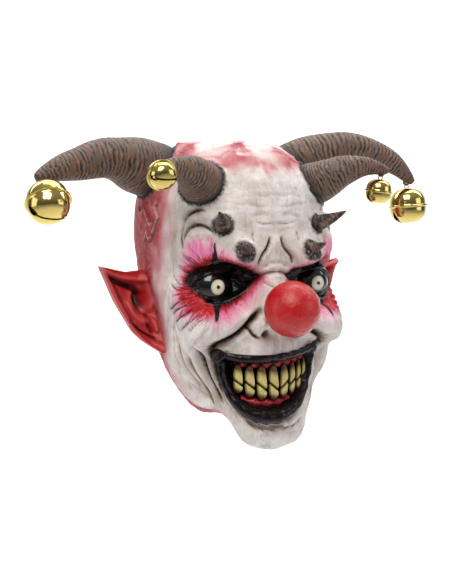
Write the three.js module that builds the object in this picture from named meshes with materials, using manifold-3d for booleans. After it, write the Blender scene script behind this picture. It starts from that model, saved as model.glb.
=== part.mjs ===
// Horned clown mask: a hollow latex head that is pulled on from below, with pointed ears, a ball nose,
// domed eyes, two rows of teeth, four horns, four brow spikes and a jingle bell tied to each horn tip.
// Millimetres, +Z up. The face looks along -Y and +X is the wearer's left.
// The origin is the inside of the crown, where the mask sits on the wearer's head.
import * as THREE from 'three';
import { mergeVertices } from 'three/addons/utils/BufferGeometryUtils.js';
import Module from 'manifold-3d';

const wasm = await Module();
wasm.setup();

// Driving sizes
const WALL = 2.5; // latex thickness
const SEAT_GAP = 0.3; // glue line between two pieces
const FACE_COLUMNS = 26; // facets round the front half of the head
const BACK_COLUMNS = 8; // facets round the back half

// Sections of the bare head from the crown down to the neck rim. Each sweeps from front_z on the face up
// to back_z on the nape. square is 2 for a round face and more for a squarer one; rows is the number of
// facets down to the next section.
const HEAD_SECTIONS = [
  { front_z: 2.5, back_z: 2.5, half_width: 0, front: 0, back: 0, square: 2.0, rows: 1 },
  { front_z: -2, back_z: -2, half_width: 36, front: 44, back: 44, square: 2.0, rows: 2 },
  { front_z: -15, back_z: -14, half_width: 62, front: 72, back: 75, square: 2.1, rows: 2 },
  { front_z: -38, back_z: -36, half_width: 80, front: 90, back: 97, square: 2.2, rows: 2 },
  { front_z: -66, back_z: -64, half_width: 87, front: 97, back: 107, square: 2.4, rows: 2 },
  { front_z: -97, back_z: -90, half_width: 88, front: 98, back: 108, square: 2.6, rows: 3 },
  { front_z: -127, back_z: -110, half_width: 86, front: 96, back: 104, square: 2.8, rows: 3 },
  { front_z: -152, back_z: -124, half_width: 85, front: 96, back: 99, square: 2.9, rows: 3 },
  { front_z: -177, back_z: -135, half_width: 83, front: 98, back: 95, square: 2.9, rows: 3 },
  { front_z: -202, back_z: -144, half_width: 81, front: 98, back: 91, square: 2.7, rows: 3 },
  { front_z: -227, back_z: -155, half_width: 80, front: 97, back: 88, square: 2.5, rows: 3 },
  { front_z: -248, back_z: -165, half_width: 79, front: 97, back: 86, square: 2.4, rows: 2 },
  { front_z: -264, back_z: -173, half_width: 78, front: 95, back: 84, square: 2.4, rows: 2 },
  { front_z: -268, back_z: -176, half_width: 75, front: 84, back: 81, square: 2.4, rows: 1 },
];
const SWEEP = 1.45; // how late the sections turn down towards the chin

// Soft swells and hollows of the face: centre, reach along each axis, height off the bare head and how
// far the flesh sags. A row off the middle stands on both sides of the face.
const SWELLS = [
  { name: 'brow_inner', x: 20, y: -98, z: -109, across: 15, deep: 25, up: 11, height: 9, sag: 0 },
  { name: 'brow_middle', x: 47, y: -92, z: -94, across: 17, deep: 25, up: 12, height: 7, sag: 0 },
  { name: 'brow_outer', x: 74, y: -72, z: -100, across: 15, deep: 22, up: 18, height: 9, sag: 0 },
  { name: 'eye_socket', x: 53, y: -86, z: -134, across: 23, deep: 25, up: 14, height: -13, sag: 0 },
  { name: 'cheek', x: 72, y: -84, z: -172, across: 24, deep: 30, up: 23, height: 19, sag: 0 },
  { name: 'cheekbone', x: 80, y: -66, z: -146, across: 14, deep: 20, up: 17, height: 8, sag: 0 },
  { name: 'nose_bridge', x: 0, y: -96, z: -134, across: 12, deep: 30, up: 17, height: 10, sag: 0 },
  { name: 'nose_body', x: 0, y: -98, z: -156, across: 17, deep: 30, up: 14, height: 20, sag: 0 },
  { name: 'nostril_wing', x: 20, y: -100, z: -167, across: 9, deep: 20, up: 8, height: 9, sag: 0 },
  { name: 'muzzle', x: 0, y: -98, z: -191, across: 42, deep: 30, up: 13, height: 6, sag: 0 },
  { name: 'mouth_side', x: 58, y: -80, z: -203, across: 15, deep: 20, up: 20, height: 9, sag: 0 },
  { name: 'lip_corner', x: 56, y: -84, z: -195, across: 8, deep: 14, up: 8, height: 6, sag: 0 },
  { name: 'temple', x: 86, y: -38, z: -112, across: 20, deep: 20, up: 24, height: -3, sag: 0 },
  { name: 'under_cheek', x: 72, y: -58, z: -216, across: 20, deep: 26, up: 20, height: -5, sag: 0 },
  { name: 'chin', x: 0, y: -93, z: -262, across: 34, deep: 24, up: 22, height: 6, sag: 22 },
  { name: 'horn_seat', x: 82, y: 8, z: -30, across: 24, deep: 30, up: 24, height: 3, sag: 0 },
];

// Sunken folds drawn on the left of the face as arcs bent by three points, seen from the front (x, z).
// Each has a twin on the right.
const FOLDS = [
  { name: 'smile_fold', start: [27, -167], bend: [46, -175], end: [66, -203], width: 6, height: -5 },
];
const FOLD_STEPS = 24; // points that stand for one arc
const FACE_REACH = { full: -50, none: -20 }; // folds fade out between these depths

// The grinning mouth is a sunken half moon that holds the teeth, with a thin upper and a full lower lip.
// Its top edge sinks in the middle by the height of the smile.
const MOUTH = {
  half_width: 46.5, top: -200.5, smile: 6, bottom: -247, roundness: 2.3, depth: 11, edge: 5, steps: 20,
};
const UPPER_LIP = { out: 4, width: 4.5, height: 4 };
const LOWER_LIP = { out: 6.5, width: 6.5, height: 7 };
const LIP_BLEND = 8; // height over which the upper lip turns into the lower

// Sight slits, cut through the latex in the shade of the brow above each eye.
const SIGHT_SLIT = { x: 47, y: -50, z: -117, length: 26, height: 5.5, depth: 60, tilt: 0.16 };

const NOSE = { radius: 26, y: -128, z: -153, sides: 16, rings: 10 };
const EYE = { radius: 19, x: 54, y: -68, z: -134, sides: 12, rings: 8 };

// Teeth stand in a row on a gum bar that follows the curve of the mouth.
// bow draws the row back towards the corners, and rise lifts it there.
const TOOTH_ROWS = [
  { name: 'upper_teeth', count: 8, span: 70, z: -218, rise: 4, half: 10.6, end_half: 9.8, gum_z: -210 },
  { name: 'lower_teeth', count: 8, span: 68, z: -235.4, rise: 6.4, half: 6, end_half: 4.6, gum_z: -240.5 },
];
const TOOTH = { front: -96, bow: 0.0065, half_width: 4.9, half_depth: 5, sides: 6, rings: 4 };
const GUM = { radius: 3.4, inset: 1, sides: 6, steps: 8 };

// Ears: leaf-shaped cups. Each row is one strip from the root on the head to the outer edge.
const EAR_STRIPS = [
  { root: [-74, -30, -198], edge: [-84, -27, -200], cup: 0 },
  { root: [-74, -24, -190], edge: [-100, -18, -188], cup: 5 },
  { root: [-74, -18, -178], edge: [-108, -13, -179], cup: 8 },
  { root: [-75, -11, -164], edge: [-116, -9, -164], cup: 10 },
  { root: [-76, -4, -150], edge: [-123, -5, -150], cup: 10 },
  { root: [-77, 3, -136], edge: [-130, -3, -133], cup: 7 },
  { root: [-78, 10, -122], edge: [-137, -2, -117], cup: 1 },
];
const EAR = { thickness: 4.5, rim_thickness: 6.5, columns: 7, fullness: 0.8 };

// Horns: the line through the middle of each and its thickness along that line. The soft latex lets the
// two sides droop differently.
const HORNS = [
  {
    name: 'horn_large_right',
    line: [[-62, 14, -40], [-92, 2, -25], [-132, -12, -16], [-162, -19, -22], [-184, -25, -27],
      [-206, -30, -35]],
    radius: [28, 27, 20, 17, 12.5, 5.5],
    sides: 12,
    steps: 12,
  },
  {
    name: 'horn_large_left',
    line: [[62, 14, -38], [92, 1, -16], [126, -14, -3], [156, -20, -6], [184, -26, -18],
      [206, -30, -37]],
    radius: [28, 25, 18, 15, 11.5, 4.5],
    sides: 12,
    steps: 12,
  },
  {
    name: 'horn_small_right',
    line: [[-46, -50, -46], [-64, -70, -38], [-82, -87, -30], [-102, -95, -26], [-125, -98, -27]],
    radius: [22, 20, 16, 9, 4],
    sides: 10,
    steps: 9,
  },
  {
    name: 'horn_small_left',
    line: [[46, -50, -46], [64, -70, -38], [82, -87, -27], [102, -95, -23], [125, -98, -27]],
    radius: [22, 20, 15, 9, 4],
    sides: 10,
    steps: 9,
  },
];
const HORN_TIP = { from: 0.96, fade: 0.06 }; // share of the line over which a tip rounds off

// Spikes: thorns on the brow that bend a little as they rise.
const SPIKES = [
  { name: 'spike_upper', base: [-48, -85, -78], tip: [-67, -113, -65], radius: 9.5 },
  { name: 'spike_lower', base: [-33, -95, -101], tip: [-41, -119, -94], radius: 8.5 },
];
const SPIKE = { sides: 8, steps: 4, hook: 4, taper: 0.8, tip_radius: 0.4 };

// Jingle bells: pressed brass halves joined at a band, with a dumb-bell slot below and a wire loop above.
const LARGE_BELL = { radius: 19, height: 37, wall: 1, rim: 2, band: 1.6, slot: 2.4, hole: 3.2 };
const SMALL_BELL = { radius: 12.5, height: 23.5, wall: 0.9, rim: 1.4, band: 1.3, slot: 1.8, hole: 2.2 };
const BELL = { sides: 12, outer_steps: 8, inner_steps: 4, hole_sides: 8, shoulder: 2.6, slot_angle: 0.95 };
const LOOP = { radius: 2.4, wire: 0.55, wire_sides: 5, sides: 8 };
const TIE = { radius: 3.6, thread: 0.65, sides: 3, steps: 10 }; // sides in each half of the thread
// Where each bell hangs under its horn tip, and how it leans: the right pair is caught against its horns.
const HANGS = [
  { name: 'large_right', bell: LARGE_BELL, at: [-200, -34, -40.5], lean_front: 38, lean_side: 5 },
  { name: 'large_left', bell: LARGE_BELL, at: [200, -28, -41.5], lean_front: 3, lean_side: -3 },
  { name: 'small_right', bell: SMALL_BELL, at: [-125, -106, -28.5], lean_front: 70, lean_side: 0 },
  { name: 'small_left', bell: SMALL_BELL, at: [117, -97.5, -33.5], lean_front: -3, lean_side: 7 },
];

function material(color, roughness, metalness) {
  return new THREE.MeshStandardMaterial({ color, roughness, metalness });
}
const LATEX = material(0xd9d2cc, 0.55, 0);
const RED_LATEX = material(0xa8262a, 0.5, 0);
const NOSE_RED = material(0xc0181c, 0.38, 0);
const EYE_BLACK = material(0x17171a, 0.2, 0);
const TOOTH_CREAM = material(0xd8c98a, 0.4, 0);
const HORN_BROWN = material(0x5d473c, 0.65, 0);
const BRASS = material(0xd8b64a, 0.18, 1);
const THREAD = material(0x8d5f58, 0.8, 0);

// Geometry helpers

function solidFromGeometry(geometry) {
  const bare = geometry.clone();
  bare.deleteAttribute('normal');
  bare.deleteAttribute('uv');
  const merged = mergeVertices(bare, 1e-3);
  return new wasm.Manifold(new wasm.Mesh({
    numProp: 3,
    vertProperties: new Float32Array(merged.attributes.position.array),
    triVerts: new Uint32Array(merged.index.array),
  }));
}

function geometryFromSolid(solid) {
  const { vertProperties, triVerts } = solid.getMesh();
  const geometry = new THREE.BufferGeometry();
  geometry.setAttribute('position', new THREE.BufferAttribute(new Float32Array(vertProperties), 3));
  geometry.setIndex(new THREE.BufferAttribute(new Uint32Array(triVerts), 1));
  geometry.computeVertexNormals();
  return geometry;
}

function placed(geometry, matrix) {
  return solidFromGeometry(geometry.clone().applyMatrix4(matrix));
}

// The twin of a piece on the other side of the head, with its faces turned out again.
function mirrored(solid) {
  const twin = geometryFromSolid(solid).applyMatrix4(new THREE.Matrix4().makeScale(-1, 1, 1));
  twin.setIndex(Array.from(twin.index.array).reverse());
  return solidFromGeometry(twin);
}

// A closed skin over rings of points, with a single point at each end.
function loft(firstPoint, rings, lastPoint) {
  const sides = rings[0].length;
  const points = [firstPoint, ...rings.flat(), lastPoint];
  const last = points.length - 1;
  const index = [];
  const at = (ring, side) => 1 + ring * sides + (side % sides);
  for (let side = 0; side < sides; side++) {
    index.push(0, at(0, side), at(0, side + 1));
    for (let ring = 0; ring < rings.length - 1; ring++) {
      const [a, b] = [at(ring, side), at(ring, side + 1)];
      const [c, d] = [at(ring + 1, side), at(ring + 1, side + 1)];
      const onRight = points[a].x + points[b].x < 0;
      index.push(...(onRight ? [a, c, b, b, c, d] : [a, c, d, a, d, b]));
    }
    index.push(last, at(rings.length - 1, side + 1), at(rings.length - 1, side));
  }
  const geometry = new THREE.BufferGeometry().setFromPoints(points);
  geometry.setIndex(index);
  const solid = solidFromGeometry(geometry);
  if (solid.volume() > 0) return solid;
  geometry.setIndex(index.reverse());
  return solidFromGeometry(geometry);
}

const vector = (xyz) => new THREE.Vector3(...xyz);
const smooth = (t) => THREE.MathUtils.smoothstep(t, 0, 1);

// A curve through table values, read at a share of its length.
function reading(values) {
  const curve = new THREE.CatmullRomCurve3(values.map((value, i) => new THREE.Vector3(value, i, 0)));
  return (share) => curve.getPoint(share).x;
}

// The head

const SECTION_COLUMNS = ['front_z', 'back_z', 'half_width', 'front', 'back', 'square'];
const sectionReading = Object.fromEntries(
  SECTION_COLUMNS.map((column) => [column, reading(HEAD_SECTIONS.map((row) => row[column]))]),
);

// A point of the bare head: turn is the angle from the middle of the face, drop runs from crown to rim.
function barePoint(turn, drop) {
  const section = {};
  for (const [column, read] of Object.entries(sectionReading)) section[column] = read(drop);
  const { half_width, front, back } = section;
  if (half_width < 1e-6) return new THREE.Vector3(0, 0, section.front_z);
  const onFront = Math.cos(turn) > 0;
  const square = onFront ? section.square : 2;
  const across = Math.abs(Math.sin(turn)) / half_width;
  const along = Math.abs(Math.cos(turn)) / (onFront ? front : back);
  const radius = (across ** square + along ** square) ** (-1 / square);
  const [x, y] = [radius * Math.sin(turn), -radius * Math.cos(turn)];
  const forward = Math.max(0, (back - y) / (front + back));
  return new THREE.Vector3(x, y, section.back_z + (section.front_z - section.back_z) * forward ** SWEEP);
}

function bareNormal(turn, drop) {
  if (drop === 0) return new THREE.Vector3(0, 0, 1);
  const step = 0.002;
  const low = Math.max(drop - step, step / 2);
  const high = Math.min(drop + step, 1);
  const round = barePoint(turn + step, drop).sub(barePoint(turn - step, drop));
  const down = barePoint(turn, high).sub(barePoint(turn, low));
  return down.cross(round).normalize();
}

const arcs = FOLDS.map(({ start, bend, end }) => {
  const [a, b, c] = [start, bend, end].map(([x, z]) => new THREE.Vector2(x, z));
  return new THREE.QuadraticBezierCurve(a, b, c).getPoints(FOLD_STEPS);
});

const mouthShare = (x) => Math.min(1, x / MOUTH.half_width);
const mouthRoof = (x) => MOUTH.top - MOUTH.smile * (1 - mouthShare(x) ** 2);
const mouthFloor = (x) => {
  const bow = (1 - mouthShare(x) ** MOUTH.roundness) ** (1 / MOUTH.roundness);
  return MOUTH.top + (MOUTH.bottom - MOUTH.top) * bow;
};
const mouthEdge = Array.from({ length: MOUTH.steps + 1 }, (_, i) => {
  const x = MOUTH.half_width * Math.sin((Math.PI * i) / (2 * MOUTH.steps));
  return [new THREE.Vector2(x, mouthFloor(x)), new THREE.Vector2(x, mouthRoof(x))];
}).flat();

// Distance from the edge of the mouth, below nought inside it.
function outsideMouth(seen) {
  const away = Math.min(...mouthEdge.map((point) => point.distanceTo(seen)));
  const inside = seen.x < MOUTH.half_width && seen.y < mouthRoof(seen.x) && seen.y > mouthFloor(seen.x);
  return inside ? -away : away;
}

// One at the middle of a swell and fading to nought away from it.
function nearness(p, swell, side) {
  const [dx, dy, dz] = [p.x - side * swell.x, p.y - swell.y, p.z - swell.z];
  return Math.exp(-((dx / swell.across) ** 2) - (dy / swell.deep) ** 2 - (dz / swell.up) ** 2);
}

// How far the sculpted face stands off the bare head at a point.
function relief(p) {
  let height = 0;
  for (const swell of SWELLS) {
    for (const side of swell.x ? [-1, 1] : [1]) height += swell.height * nearness(p, swell, side);
  }
  const onFace = smooth((FACE_REACH.none - p.y) / (FACE_REACH.none - FACE_REACH.full));
  const seen = new THREE.Vector2(Math.abs(p.x), p.z);
  FOLDS.forEach((fold, i) => {
    const distance = Math.min(...arcs[i].map((point) => point.distanceTo(seen)));
    height += fold.height * onFace * Math.exp(-((distance / fold.width) ** 2));
  });
  const outside = outsideMouth(seen);
  const below = smooth((mouthRoof(seen.x) - p.z) / LIP_BLEND);
  const lip = (shape) => shape.height * Math.exp(-(((outside - shape.out) / shape.width) ** 2));
  height += onFace * THREE.MathUtils.lerp(lip(UPPER_LIP), lip(LOWER_LIP), below);
  return height - onFace * MOUTH.depth * smooth(-outside / MOUTH.edge);
}

function skinPoint(turn, drop, outward) {
  const p = barePoint(turn, drop);
  p.z -= SWELLS.reduce((sum, swell) => sum + (swell.sag ? swell.sag * nearness(p, swell, 1) : 0), 0);
  return p.addScaledVector(bareNormal(turn, drop), relief(p) + outward);
}

// Angles of the facets round the head: closer together on the face.
const turns = [];
for (let i = 0; i < FACE_COLUMNS; i++) turns.push(-Math.PI / 2 + (Math.PI * i) / FACE_COLUMNS);
for (let i = 0; i < BACK_COLUMNS; i++) turns.push(Math.PI / 2 + (Math.PI * i) / BACK_COLUMNS);
const drops = HEAD_SECTIONS.slice(0, -1).flatMap(({ rows }, section) =>
  Array.from({ length: rows }, (_, row) => (section + (row + 1) / rows) / (HEAD_SECTIONS.length - 1)),
);

function skinRings(outward) {
  return drops.map((drop) => turns.map((turn) => skinPoint(turn, drop, outward)));
}

function middleOf(ring) {
  return ring.reduce((sum, p) => sum.add(p), new THREE.Vector3()).divideScalar(ring.length);
}

// The cut edge at the neck runs straight in from the outer rim to the inner one.
function innerRim(outerRim) {
  const middle = middleOf(outerRim);
  return outerRim.map((p) => p.clone().addScaledVector(middle.clone().sub(p).normalize(), WALL));
}

// The head as one filled body, which the pieces that sit on it are cut by.
function solidHead(outward) {
  const rings = skinRings(outward);
  return loft(skinPoint(0, 0, outward), rings, middleOf(rings[rings.length - 1]));
}

function sightSlit(side) {
  const { x, y, z, length, height, depth, tilt } = SIGHT_SLIT;
  const outline = new THREE.Shape();
  outline.absarc(-length / 2 + height / 2, 0, height / 2, Math.PI / 2, -Math.PI / 2);
  outline.absarc(length / 2 - height / 2, 0, height / 2, -Math.PI / 2, Math.PI / 2);
  const bar = new THREE.ExtrudeGeometry(outline, { depth, bevelEnabled: false, curveSegments: 4 });
  const turned = new THREE.Matrix4().makeRotationX(Math.PI / 2);
  const tilted = new THREE.Matrix4().makeRotationY(-side * tilt);
  const moved = new THREE.Matrix4().makeTranslation(side * x, y, z);
  return placed(bar, moved.multiply(tilted).multiply(turned));
}

function maskSkin() {
  const outer = skinRings(0);
  const inner = skinRings(-WALL).reverse();
  inner[0] = innerRim(outer[outer.length - 1]);
  const shell = loft(skinPoint(0, 0, 0), [...outer, ...inner], skinPoint(0, 0, -WALL));
  return shell.subtract(sightSlit(-1)).subtract(sightSlit(1));
}

const headSeat = solidHead(SEAT_GAP);

// Pieces on the head

function noseBall() {
  const ball = new THREE.SphereGeometry(NOSE.radius, NOSE.sides, NOSE.rings);
  return placed(ball, new THREE.Matrix4().makeTranslation(0, NOSE.y, NOSE.z)).subtract(headSeat);
}

function eyeDome() {
  const ball = new THREE.SphereGeometry(EYE.radius, EYE.sides, EYE.rings);
  const facing = new THREE.Matrix4().makeRotationX(Math.PI / 2);
  return placed(ball, new THREE.Matrix4().makeTranslation(-EYE.x, EYE.y, EYE.z).multiply(facing));
}

// A point in the row of teeth: place runs from -1 to 1 across the mouth.
function toothPlace(place, row) {
  const x = (row.span / 2) * place;
  return new THREE.Vector3(x, TOOTH.front + TOOTH.bow * x * x, row.z + row.rise * place * place);
}

function toothRow(row) {
  const gumLine = [-1, -0.5, 0, 0.5, 1].map((place) => {
    const p = toothPlace(place, row);
    return new THREE.Vector3(p.x, p.y + GUM.inset, row.gum_z + row.rise * place * place);
  });
  let solid = tube(new THREE.CatmullRomCurve3(gumLine), () => GUM.radius, GUM.sides, GUM.steps);
  const ball = new THREE.SphereGeometry(1, TOOTH.sides, TOOTH.rings);
  const upright = new THREE.Matrix4().makeRotationX(Math.PI / 2);
  for (let i = 0; i < row.count; i++) {
    const place = (2 * i) / (row.count - 1) - 1;
    const half = THREE.MathUtils.lerp(row.half, row.end_half, Math.abs(place));
    const size = new THREE.Matrix4().makeScale(TOOTH.half_width, half, TOOTH.half_depth);
    const at = new THREE.Matrix4().setPosition(toothPlace(place, row));
    solid = solid.add(placed(ball, at.multiply(upright).multiply(size)));
  }
  return solid.subtract(headSeat);
}

// A round bar along a curve, with a thickness that may change on the way.
function tube(curve, radiusAt, sides, steps) {
  const frames = curve.computeFrenetFrames(steps, false);
  const rings = Array.from({ length: steps + 1 }, (_, i) => {
    const centre = curve.getPointAt(i / steps);
    const radius = radiusAt(i / steps);
    return Array.from({ length: sides }, (_, side) => {
      const angle = (2 * Math.PI * side) / sides;
      return centre.clone()
        .addScaledVector(frames.normals[i], radius * Math.cos(angle))
        .addScaledVector(frames.binormals[i], radius * Math.sin(angle));
    });
  });
  return loft(curve.getPointAt(0), rings, curve.getPointAt(1));
}

function hornBody(shape, outward) {
  const curve = new THREE.CatmullRomCurve3(shape.line.map(vector));
  const radiusAt = reading(shape.radius);
  const rounded = (share) => {
    const past = Math.max(0, (share - HORN_TIP.from) / HORN_TIP.fade);
    return radiusAt(share) * Math.sqrt(1 - past ** 2) + outward;
  };
  return tube(curve, rounded, shape.sides, shape.steps);
}

function spike(row) {
  const [base, tip] = [vector(row.base), vector(row.tip)];
  const middle = base.clone().lerp(tip, 0.5).add(new THREE.Vector3(0, -SPIKE.hook, -SPIKE.hook / 2));
  const curve = new THREE.QuadraticBezierCurve3(base, middle, tip);
  const radiusAt = (share) => row.radius * (1 - share) ** SPIKE.taper + SPIKE.tip_radius;
  return tube(curve, radiusAt, SPIKE.sides, SPIKE.steps);
}

// The ear is a cup: its front face is hollowed between the root and a thicker rim.
function ear() {
  const columns = EAR.columns;
  const along = (strip, share, face) => {
    const [root, edge] = [vector(strip.root), vector(strip.edge)];
    const rim = share ** 3;
    const hollow = strip.cup * Math.sin(Math.PI * share ** EAR.fullness);
    const thickness = THREE.MathUtils.lerp(EAR.thickness, EAR.rim_thickness, rim);
    return root.lerp(edge, share).add(new THREE.Vector3(0, hollow + face * thickness, 0));
  };
  const rings = EAR_STRIPS.map((strip) => {
    const front = Array.from({ length: columns }, (_, i) => along(strip, i / (columns - 1), -0.5));
    const back = Array.from({ length: columns }, (_, i) => along(strip, 1 - i / (columns - 1), 0.5));
    return [...front, ...back];
  });
  const end = (strip) => vector(strip.root).lerp(vector(strip.edge), 0.5);
  return loft(end(EAR_STRIPS[0]), rings, end(EAR_STRIPS[EAR_STRIPS.length - 1]));
}

// Bells

// Half outline of a bell from the bottom up, drawn in by inset. The band stands out where the halves meet.
function bellOutline(bell, inset) {
  const halfHeight = bell.height / 2 - inset;
  const reach = bell.radius - inset;
  const points = [];
  const steps = inset ? BELL.inner_steps : BELL.outer_steps;
  for (let i = 0; i <= steps; i++) {
    const angle = Math.PI * (i / steps - 0.5);
    const blend = 2 / BELL.shoulder;
    const x = reach * Math.abs(Math.cos(angle)) ** blend;
    const y = halfHeight * Math.sign(Math.sin(angle)) * Math.abs(Math.sin(angle)) ** blend;
    const onAxis = i === 0 || i === steps;
    if (inset === 0 && i === steps / 2) {
      const [rim, half] = [bell.radius + bell.rim, bell.band / 2];
      points.push(new THREE.Vector2(reach, -half), new THREE.Vector2(rim, -half));
      points.push(new THREE.Vector2(rim, half), new THREE.Vector2(reach, half));
    } else {
      points.push(new THREE.Vector2(onAxis ? 0 : x, y));
    }
  }
  return points;
}

// The bell hangs below its own origin, which is the middle of its wire loop.
function bellSolid(bell) {
  const middle = LOOP.wire - LOOP.radius - bell.height / 2;
  const upright = new THREE.Matrix4().makeRotationX(Math.PI / 2);
  const at = (x, z) => new THREE.Matrix4().makeTranslation(x, 0, z);
  const turned = (inset) => {
    const body = new THREE.LatheGeometry(bellOutline(bell, inset), BELL.sides);
    return placed(body, at(0, middle).multiply(upright));
  };
  const slotReach = bell.radius * Math.sin(BELL.slot_angle);
  const slotDepth = bell.height / 2;
  const slotMiddle = middle - bell.height / 2 + slotDepth / 4;
  const slot = new THREE.BoxGeometry(2 * slotReach, bell.slot, slotDepth);
  const hole = new THREE.CylinderGeometry(bell.hole, bell.hole, slotDepth, BELL.hole_sides);
  const hollow = turned(bell.wall);
  let solid = turned(0).subtract(hollow).subtract(placed(slot, at(0, slotMiddle)));
  for (const side of [-1, 1]) {
    solid = solid.subtract(placed(hole, at(side * slotReach, slotMiddle).multiply(upright)));
  }
  const loop = new THREE.TorusGeometry(LOOP.radius, LOOP.wire, LOOP.wire_sides, LOOP.sides);
  return solid.add(placed(loop, upright).subtract(hollow));
}

function hangLean(hang) {
  const [front, side] = [hang.lean_front, hang.lean_side].map(THREE.MathUtils.degToRad);
  return new THREE.Euler(-front, side, 0, 'ZYX');
}

// The thread is a loop that carries the bell's wire loop and runs up into the horn.
function tieSolid(hang, horn) {
  const lowest = LOOP.radius - LOOP.wire - TIE.thread - SEAT_GAP;
  const circle = Array.from({ length: TIE.steps }, (_, i) => {
    const angle = (2 * Math.PI * i) / TIE.steps;
    return new THREE.Vector3(0, TIE.radius * Math.sin(angle), lowest + TIE.radius * (1 + Math.cos(angle)));
  });
  const curve = new THREE.CatmullRomCurve3(circle, true);
  const ring = new THREE.Shape().absarc(0, 0, TIE.thread, 0, 2 * Math.PI);
  const shape = { steps: TIE.steps, extrudePath: curve, curveSegments: TIE.sides };
  const hung = new THREE.Matrix4().makeRotationFromEuler(hangLean(hang)).setPosition(...hang.at);
  return placed(new THREE.ExtrudeGeometry(ring, shape), hung).subtract(horn);
}

// Assembly

const mask = new THREE.Group();

function addPiece(name, solid, finish) {
  const mesh = new THREE.Mesh(geometryFromSolid(solid), finish);
  mesh.name = name;
  mask.add(mesh);
  return mesh;
}

// Pieces are drawn on the wearer's right, mirrored to the left and cut to sit on the head.
function addPair(name, solid, finish) {
  addPiece(`${name}_right`, solid.subtract(headSeat), finish);
  addPiece(`${name}_left`, mirrored(solid).subtract(headSeat), finish);
}

addPiece('mask_skin', maskSkin(), LATEX);
addPiece('nose_ball', noseBall(), NOSE_RED);
addPair('eye', eyeDome(), EYE_BLACK);
for (const row of TOOTH_ROWS) addPiece(row.name, toothRow(row), TOOTH_CREAM);
addPair('ear', ear(), RED_LATEX);
for (const row of SPIKES) addPair(row.name, spike(row), HORN_BROWN);
for (const horn of HORNS) addPiece(horn.name, hornBody(horn, 0).subtract(headSeat), HORN_BROWN);

const hornClear = Object.fromEntries(HORNS.map((horn) => [horn.name, hornBody(horn, SEAT_GAP)]));
for (const hang of HANGS) {
  const bell = addPiece(`bell_${hang.name}`, bellSolid(hang.bell), BRASS);
  bell.position.set(...hang.at);
  bell.rotation.copy(hangLean(hang));
  addPiece(`bell_tie_${hang.name}`, tieSolid(hang, hornClear[`horn_${hang.name}`]), THREAD);
}

export default mask;
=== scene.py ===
"""Horned clown mask: the finished look of every piece, made in the frame of its solids.

Tables are in millimetres, +Z up. The face looks along -Y and +X is the wearer's left.
"""
import math
from types import SimpleNamespace as Values

import bpy
import numpy as np
from mathutils import Matrix, Vector, noise
from mathutils.bvhtree import BVHTree


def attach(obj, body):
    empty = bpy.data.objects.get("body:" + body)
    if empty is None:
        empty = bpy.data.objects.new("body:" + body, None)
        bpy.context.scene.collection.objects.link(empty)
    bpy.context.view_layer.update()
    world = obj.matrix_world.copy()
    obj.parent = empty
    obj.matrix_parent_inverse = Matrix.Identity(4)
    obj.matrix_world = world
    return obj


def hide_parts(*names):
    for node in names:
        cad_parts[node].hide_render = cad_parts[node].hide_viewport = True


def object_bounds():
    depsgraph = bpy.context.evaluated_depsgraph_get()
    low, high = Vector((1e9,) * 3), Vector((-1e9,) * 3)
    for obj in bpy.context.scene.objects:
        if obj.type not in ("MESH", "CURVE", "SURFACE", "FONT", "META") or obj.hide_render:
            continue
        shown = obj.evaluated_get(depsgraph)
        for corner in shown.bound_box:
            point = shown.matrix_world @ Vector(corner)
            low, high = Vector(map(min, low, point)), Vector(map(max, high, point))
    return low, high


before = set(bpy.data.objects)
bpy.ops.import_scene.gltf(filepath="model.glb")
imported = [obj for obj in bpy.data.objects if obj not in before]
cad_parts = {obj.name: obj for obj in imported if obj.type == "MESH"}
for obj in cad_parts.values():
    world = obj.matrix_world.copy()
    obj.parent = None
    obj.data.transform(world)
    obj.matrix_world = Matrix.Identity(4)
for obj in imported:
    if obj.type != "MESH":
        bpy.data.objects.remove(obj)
SOLIDS_BOX = [list(corner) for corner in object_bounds()]

bl_info = {
    "name": "Horned Clown Mask",
    "version": (1, 0, 0),
    "blender": (4, 5, 0),
    "location": "View3D > Sidebar > Mask",
    "description": "Builds a painted latex clown mask with horns and jingle bells",
    "category": "Add Mesh",
}

MM = 0.001
BODY = "root"

# The head

WALL = 2.5
NEAR_REACH = 120  # degrees from the middle of the face to where the columns widen
NEAR_COLUMNS = 280  # over the face and temples
FAR_COLUMNS = 60  # round the rest of the back
SKIN_ROWS = 250
INSIDE_STEP = 5  # the unseen inside has one row and column for this many outside
SWEEP = 1.45  # power by which each section falls from the back of the head to the face
SEAT = 0.8  # how far under the skin a piece that sits in it ends
SEAT_RINGS = 7  # rings of points that close such a piece
FAR = 99.0  # stands for any distance out of reach
SAMPLES = Values(curve=400, ring=720, front=2000)  # points on which lengths are measured
FRONT = Values(paint=-30, forms=-40)  # the face's paint and forms lie ahead of these depths

# Sections of the bare head from the crown down: front_z, back_z, half_width, front, back, square
HEAD_SECTIONS = np.array([
    (2.5, 2.5, 0, 0, 0, 2.0),
    (-2, -2, 36, 44, 44, 2.0),
    (-15, -14, 62, 72, 75, 2.1),
    (-38, -36, 80, 90, 97, 2.2),
    (-66, -64, 87, 97, 107, 2.4),
    (-97, -90, 88, 98, 108, 2.6),
    (-127, -110, 86, 96, 104, 2.8),
    (-152, -124, 85, 96, 99, 2.9),
    (-177, -135, 83, 98, 95, 2.9),
    (-202, -144, 81, 98, 91, 2.7),
    (-227, -155, 80, 97, 88, 2.5),
    (-248, -165, 79, 97, 86, 2.4),
    (-264, -173, 78, 95, 84, 2.4),
    (-268, -176, 75, 84, 81, 2.4),
])
EYE_SECTION = 7  # the section that lengths round the head are measured on

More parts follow.
